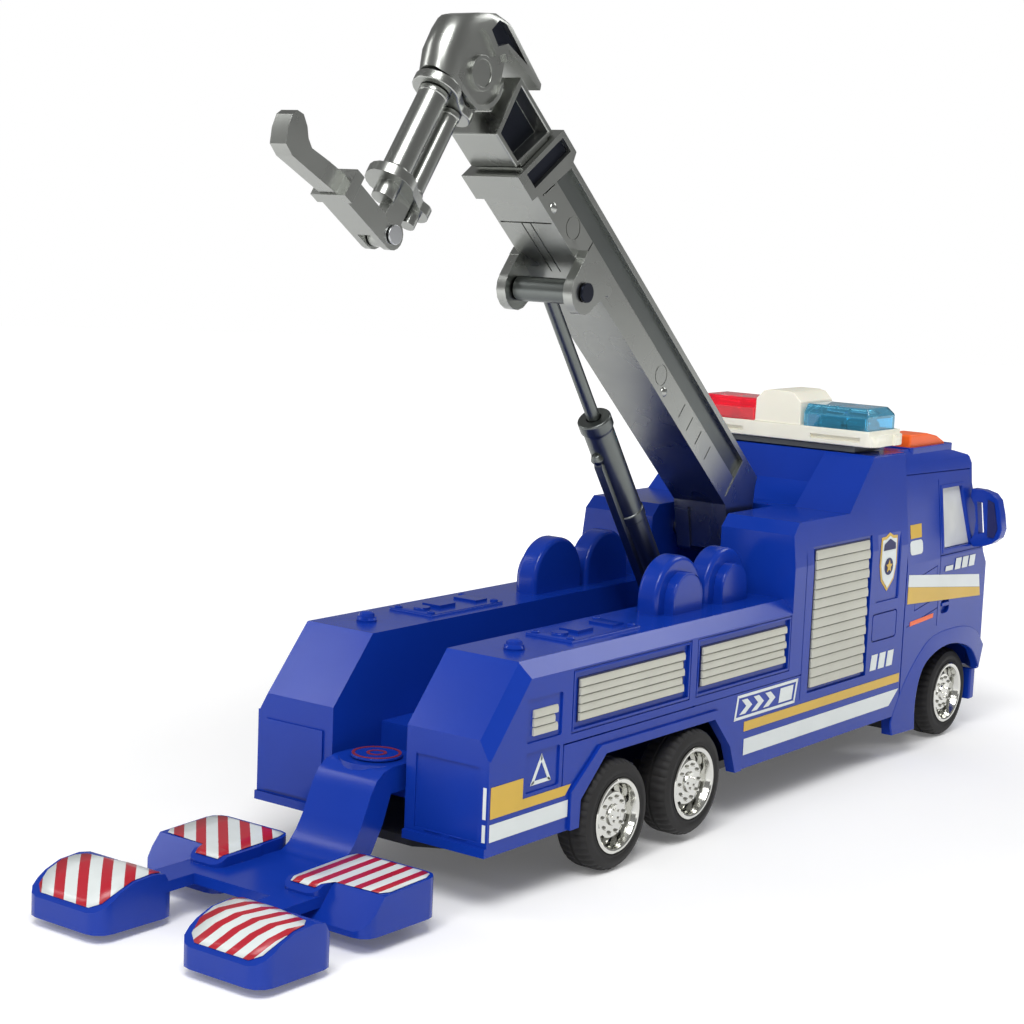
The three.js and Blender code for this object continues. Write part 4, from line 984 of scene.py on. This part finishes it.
def outer_boom():
    """The outer boom with the strips, marks and lines of its sides and underside."""
    w = BOOM_HALF_W
    # flush strip along the lower half of each side, with faint round marks and a short ladder
    strip = prism([(15.5, 4.4), (165.8, 4.4), (163.4, 12.1), (15.5, 12.1)], w - 2.2, w - 0.3, "y")
    marks = []
    for u, v, r in ((147.8, 8.3, 3.7), (77.5, 8.1, 3.5)):
        marks.append(ring(arc(u, v, r, 0, 352, 44), arc(u, v, r - 0.35, 0, 352, 44), w - 0.55, w + 1))
    for u in (36, 44.4, 52, 59):
        marks.append(block(u, u + 0.5, w - 0.6, w + 1, 5, 10.6))
    marks.append(block(136.8, 137.2, w - 0.6, w + 1, 4, 12.2))
    # panel lines of the underside
    marks.append(block(156, 156.6, 0, w - 1, 1.8, 2.75))
    marks.append(block(134, 156.3, 1.4, 1.9, 1.8, 2.75))
    foot = [(-7.2, 3.2), (-6, -4), (0, -7.3), (13, 2.8), (13, 21.3), (4.4, 21.3), (3.2, 18)]
    adds = together(both_sides(strip), prism(foot, -5.3, 5.3, "y"))
    cuts = changed(both_sides(*marks), BOOM)
    refine("boom_outer", PLATED, 0.45, 3, cuts=cuts, adds=changed(adds, BOOM))


def painted_shade_sheets():
    """Painted shade: dark sheets on the sunk panel floors of the boom and its head, drawn along the boom."""
    panel = [(15.8, 12.2), (162.4, 12.2), (160.9, 20.1), (15.8, 20.1)]
    collar = [(170.7, 3.4), (176.3, 3.4), (171, 23.2), (165.3, 23.2)]
    stage = [(180.3, 5.1), (191.5, 5.1), (193.9, 21.1), (175.5, 21.1)]
    hood = [(207.6, 23.4), (213.2, 24.6), (212.2, 29.6), (208.6, 31.4), (193.5, 30.3), (204.8, 27.6)]
    # painted shade in the pockets; the smoky sheet on the boom's side band is a painted dark reflection
    shade_covers = [
        ("boom_outer", panel, 8.84, DARK_PLATED),
        ("boom_outer", collar, 8.84, SHADED),
        ("boom_inner", stage, 3.25, SHADED),
        ("boom_head", hood, 3.85, SHADED),
    ]
    for k, (node, outline, y, material) in enumerate(shade_covers):
        shade_cover = changed(both_sides(prism(outline, y, y + 0.12, "y")), BOOM)
        put(f"painted_shade_sheet_{k}", shade_cover, material, body_of(node), slot_of(node))


def boom_fittings():
    """Rivets on the boom's sides and the raised panel on its top."""
    rivets = []
    for u, v in ((159.6, 5.6), (72.4, 5.2)):
        for side in (-1, 1):
            rivets.append(rivet(1.7, 0.9, u, v, side * (BOOM_HALF_W - 0.35)))
    put("boom_rivets", together(*rivets), PLATED, "boom")
    panel = changed(block(34, 150, -6, 6, 21.8, 22.3), BOOM)
    put("boom_panel", panel, PLATED, "boom", bevel=0.3)


def head_and_pins():
    """Inner boom, head with its rims, fork ends, hook and the pins."""
    refine("boom_inner", PLATED, 0.4)
    # the head's crown falls straight to its rounded back
    crown = prism([(211, 33.4), (220.1, 24.3), (225, 18.2), (232, 18.2), (232, 40), (211, 40)], -10, 10, "y")
    head = combined(cad("boom_head"), changed(crown, BOOM), "DIFFERENCE")
    put("boom_head_shown", head, PLATED, "head", stands_for=["boom_head"], bevel=0.5, segments=3)
    refine("head_pin", STEEL, 0.2)
    # grooved rim around the head's pin
    rims = []
    for side in (-1, 1):
        hoop = turned([(3.9, 5.7), (5.1, 5.7), (5.1, 6.25), (3.9, 6.25), (3.9, 5.7)], 48)
        if side < 0:
            hoop = mirrored(hoop)
        rims.append(changed(moved(hoop, HEAD_PIVOT[0], 0, HEAD_PIVOT[1]), BOOM))
    put("head_rims", together(*rims), PLATED, "head", bevel=0.15)
    for node in ("hoist_top_flange", "hoist_foot", "claw_hook"):
        refine(node, PLATED, 0.45, 3)
    for node in ("claw_pin", "boom_pin", "ram_pin"):
        refine(node, STEEL, 0.25)
    # painted shade: the clevis pin is near-black so its ends read as shaded holes in the ears
    refine("clevis_pin", SHADED, 0.25)


def posts():
    """Round fork posts turned finely, each with a small step at its ends."""
    for node, x, r, segments in (("hoist_post", -4.3, 4.6, 72), ("hoist_guide", 5.0, 3.2, 56)):
        profile = [(0, -39.7), (r, -39.7), (r, -38.4), (r - 0.25, -38.2), (r - 0.25, -12.6), (r, -12.4)]
        profile += [(r, -10.9), (0, -10.9)]
        bm = changed(moved(turned(profile, segments, "z"), x, 0, 0), FORK)
        put(node + "_shown", bm, PLATED, "head", stands_for=[node], bevel=0.12)


def ram():
    """Barrel with collar, foot eye, side rib and notch; rod with its cross tube."""
    run = (Vector((clevis_at.x, clevis_at.z)) - Vector(RAM_PIVOT)).length
    bore = 2.5
    profile = [(bore, 13), (bore, 100), (5.2, 100), (5.6, 99.5), (5.6, 96.2), (5.1, 95.4), (5, 94.6), (5, 9)]
    profile += [(4.2, 5.2), (2.4, 4), (0, 4), (0, 13), (bore, 13)]
    shell = turned(profile, 72, "x")
    eye = turned([(2.3, -6), (5.2, -6), (5.2, 6), (2.3, 6), (2.3, -6)], 48)
    web = block(3.4, 8, -4.2, 4.2, -3.6, 3.6)
    rib = prism([(30, 4.4), (84, 4.4), (86, 5.6), (84, 6.4), (32, 6.4), (29, 5.4)], -1.6, 1.6, "y")
    ball = turned([(0, -2.2), (1.5, -1.7), (2.2, 0), (1.5, 1.7), (0, 2.2)], 24, "x")
    band_profile = [(5, 58), (5.35, 58.4), (5.35, 61.6), (5, 62), (4.6, 62), (4.6, 58), (5, 58)]
    extras = [eye, web, rib, moved(ball, 87, 0, 5.2), turned(band_profile, 72, "x")]
    barrel = changed(together(shell, *extras), RAM)
    put("ram_barrel_shown", barrel, DARK_PLATED, "ram", stands_for=["ram_barrel"], bevel=0.2)
    rod = turned([(0, 42), (2.2, 42), (2.2, run - 1), (0, run - 1)], 48, "x")
    tube_profile = [(2.85, -10.4), (3.6, -10.4), (3.85, -10.1), (3.85, 10.1), (3.6, 10.4), (2.85, 10.4)]
    tube_profile.append(tube_profile[0])
    tube = moved(turned(tube_profile, 64), run, 0, 0)
    rod = changed(together(rod, tube), RAM)
    put("ram_rod_shown", rod, DARK_PLATED, "ram_piston", "bright_plated_plastic", ["ram_rod"], 0.15)


outer_boom()
painted_shade_sheets()
boom_fittings()
head_and_pins()
posts()
ram()


# ------ cradle
def draped(name, rows, hand, material):
    """Sticker on the top of a pad: rows of (x, z, inner |y|, outer |y|) from its rear edge forward."""
    bm = bmesh.new()
    lines = []
    for x, z, near, far in rows:
        steps = [near + (far - near) * k / 4 for k in range(5)]
        lines.append([bm.verts.new((x, hand * y, z + DECAL)) for y in steps])
    for one, two in zip(lines, lines[1:]):
        for k in range(4):
            bm.faces.new((one[k], one[k + 1], two[k + 1], two[k]))
    for face in outward(bm).faces:
        if face.normal.z < 0:
            face.normal_flip()
    obj = put(name, bm, material, "cradle", "white_print")
    modifier = obj.modifiers.new("thickness", "SOLIDIFY")
    modifier.thickness = DECAL * MM
    modifier.offset = 1


def cradle():
    """The cradle with its striped pads, and the round mark on its pin."""
    refine("wheel_cradle", BLUE, 1.1, 4)
    refine("cradle_pin", BLUE, 0.2)
    mark = []
    for r in (7.2, 3.0):
        outline = arc(CRADLE_PIVOT_X, 0, r, 0, 352, 44)
        mark.append(ring(outline, arc(CRADLE_PIVOT_X, 0, r - 0.9, 0, 352, 44), 38.12, 38.26, "z"))
    put("pivot_mark", together(*mark), RED_MARK)
    rear = [
        (-149.2, 9.15, 19.5, 38.2), (-147.2, 10.4, 16.6, 41.0), (-143.0, 13.0, 15.2, 42.3),
        (-138.0, 14.8, 15.0, 42.5), (-133.6, 15.1, 15.0, 42.2), (-131.0, 15.3, 15.0, 40.4),
        (-127.6, 14.75, 15.2, 27.5),
    ]
    front = [
        (-107.6, 14.4, 13.6, 22.2), (-105.8, 15.15, 13.2, 23.0), (-102.2, 15.2, 13.0, 24.6),
        (-101.4, 15.25, 13.0, 39.4), (-99.0, 15.35, 13.0, 41.0), (-84.0, 15.82, 13.0, 41.0),
        (-81.0, 15.92, 13.8, 39.8), (-80.2, 15.95, 16.0, 37.8),
    ]
    draped("pad_sticker_rear_left", rear, 1, STRIPES_LEFT)
    draped("pad_sticker_front_left", front, 1, STRIPES_LEFT)
    draped("pad_sticker_rear_right", rear, -1, STRIPES_REAR)
    draped("pad_sticker_front_right", front, -1, STRIPES_FRONT)


cradle()


# ------ underside and inside
def underside():
    """Chassis with its screws and ribs, battery cover, circuit board and speaker."""
    screws = []
    for x in (-30, 20, 90, 178, 220):
        for y in (-20, 20):
            head = changed(screw_head(2.4, 0, 0, 0), Matrix.Rotation(math.pi, 4, "X"))
            screws.append(moved(head, x, y, 12.6))
    put("chassis_screws", together(*screws), STEEL)
    ribs = [block(x, x + 1.2, -22, 22, 11.9, 12.7) for x in range(-12, 30, 8)]
    put("chassis_ribs", together(*ribs), BLACK, bevel=0.2)
    refine("chassis", BLACK, 0.4)
    refine("battery_cover", BLACK, 0.4)
    refine("circuit_board", BOARD, 0.2)
    profile = [(0, 15.75), (3, 15.75), (5, 16.1), (11, 15.7), (12.6, 15.4), (13.8, 15.8), (14, 18.9)]
    profile += [(9.2, 19.1), (9, 22.4), (0, 22.4)]
    cone = moved(turned(profile, 72, "z"), 146, 0, 0)
    put("speaker_shown", cone, BLACK, stands_for=["speaker"], bevel=0.2)


underside()

# ------ floor, light and camera
def pale_floor():
    """A wide pale disc that fades to the plain white backdrop away from the truck."""
    floor = new_object("floor", prism(arc(0, 0, 2500, 0, 357, 119), -6, 0, "z"))
    floor.data.transform(TO_ROW)
    floor.location.z = -0.0002
    n = Nodes("pale_floor")
    n.link(
        n.ramp(n.noise(6.0), [(0.3, linear(246, 246, 246)), (0.7, linear(250, 250, 250))]),
        n.shader.inputs["Base Color"],
    )
    away = n.add("ShaderNodeVectorMath", operation="LENGTH")
    n.link(n.coords.outputs["Object"], away.inputs[0])
    fade = n.add("ShaderNodeMapRange", From_Min=0.16, From_Max=0.62, To_Min=0.0, To_Max=1.0)
    n.link(away.outputs["Value"], fade.inputs["Value"])
    glow = n.ramp(fade.outputs["Result"], [(0.0, (0.12, 0.12, 0.12, 1)), (1.0, (1, 1, 1, 1))])
    n.link(glow, n.shader.inputs["Emission Color"])
    n.set(Roughness=0.7, Emission_Strength=0.75)
    floor.data.materials.append(n.material)


def soft_studio(scene):
    """White surroundings: soft on the truck, softer in its reflections, full behind it."""
    world = bpy.data.worlds.new("soft_studio")
    scene.world = world
    world.use_nodes = True
    tree = world.node_tree
    rays = tree.nodes.new("ShaderNodeLightPath")

    def white(strength, node=None):
        node = node or tree.nodes.new("ShaderNodeBackground")
        node.inputs["Color"].default_value = (1.0, 1.0, 1.0, 1.0)
        node.inputs["Strength"].default_value = strength
        return node.outputs["Background"]

    def chosen(kind, then, otherwise):
        node = tree.nodes.new("ShaderNodeMixShader")
        tree.links.new(rays.outputs[kind], node.inputs["Fac"])
        tree.links.new(otherwise, node.inputs[1])
        tree.links.new(then, node.inputs[2])
        return node.outputs["Shader"]

    surroundings = chosen("Is Glossy Ray", white(0.26), white(0.36, tree.nodes["Background"]))
    everything = chosen("Is Camera Ray", white(1.0), surroundings)
    tree.links.new(everything, tree.nodes["World Output"].inputs["Surface"])
    scene.view_settings.view_transform = "Standard"


def area_light(name, at, aim, size, power):
    """A soft box, placed and aimed in metres."""
    data = bpy.data.lights.new(name, "AREA")
    data.shape = "RECTANGLE"
    data.size = size[0]
    data.size_y = size[1]
    data.energy = power
    light = bpy.data.objects.new(name, data)
    scene.collection.objects.link(light)
    light.location = at
    light.rotation_euler = (Vector(aim) - Vector(at)).to_track_quat("-Z", "Y").to_euler()


scene = bpy.context.scene
pale_floor()
soft_studio(scene)
area_light("key_light", (-0.62, -0.34, 0.95), (0, 0, 0.06), (0.55, 0.45), 8.5)
area_light("edge_light", (-0.5, 0.75, 0.5), (0, 0, 0.08), (0.15, 0.6), 1.6)
area_light("glint_light", (-0.95, -0.25, 0.6), (0, 0, 0.08), (0.13, 0.13), 1.2)
area_light("front_light", (0.75, -0.35, 0.7), (0, 0, 0.1), (0.4, 0.4), 2.2)


def camera():
    """The photograph's view: from behind the truck, on its right."""
    yaw, pitch, roll = (math.radians(a) for a in CAMERA_TURN)
    ahead = Vector((math.cos(yaw) * math.cos(pitch), math.sin(yaw) * math.cos(pitch), -math.sin(pitch)))
    right = Vector((math.sin(yaw), -math.cos(yaw), 0))
    down = ahead.cross(right)
    right_rolled = right * math.cos(roll) + down * math.sin(roll)
    down_rolled = down * math.cos(roll) - right * math.sin(roll)
    turn = Matrix((right_rolled, -down_rolled, -ahead)).transposed().to_4x4()
    data = bpy.data.cameras.new("camera")
    data.sensor_width = 36.0
    data.lens = LENS
    data.clip_start = 0.01
    obj = bpy.data.objects.new("camera", data)
    scene.collection.objects.link(obj)
    obj.matrix_world = Matrix.Translation(TO_ROW @ Vector(CAMERA_AT)) @ turn
    scene.camera = obj


camera()
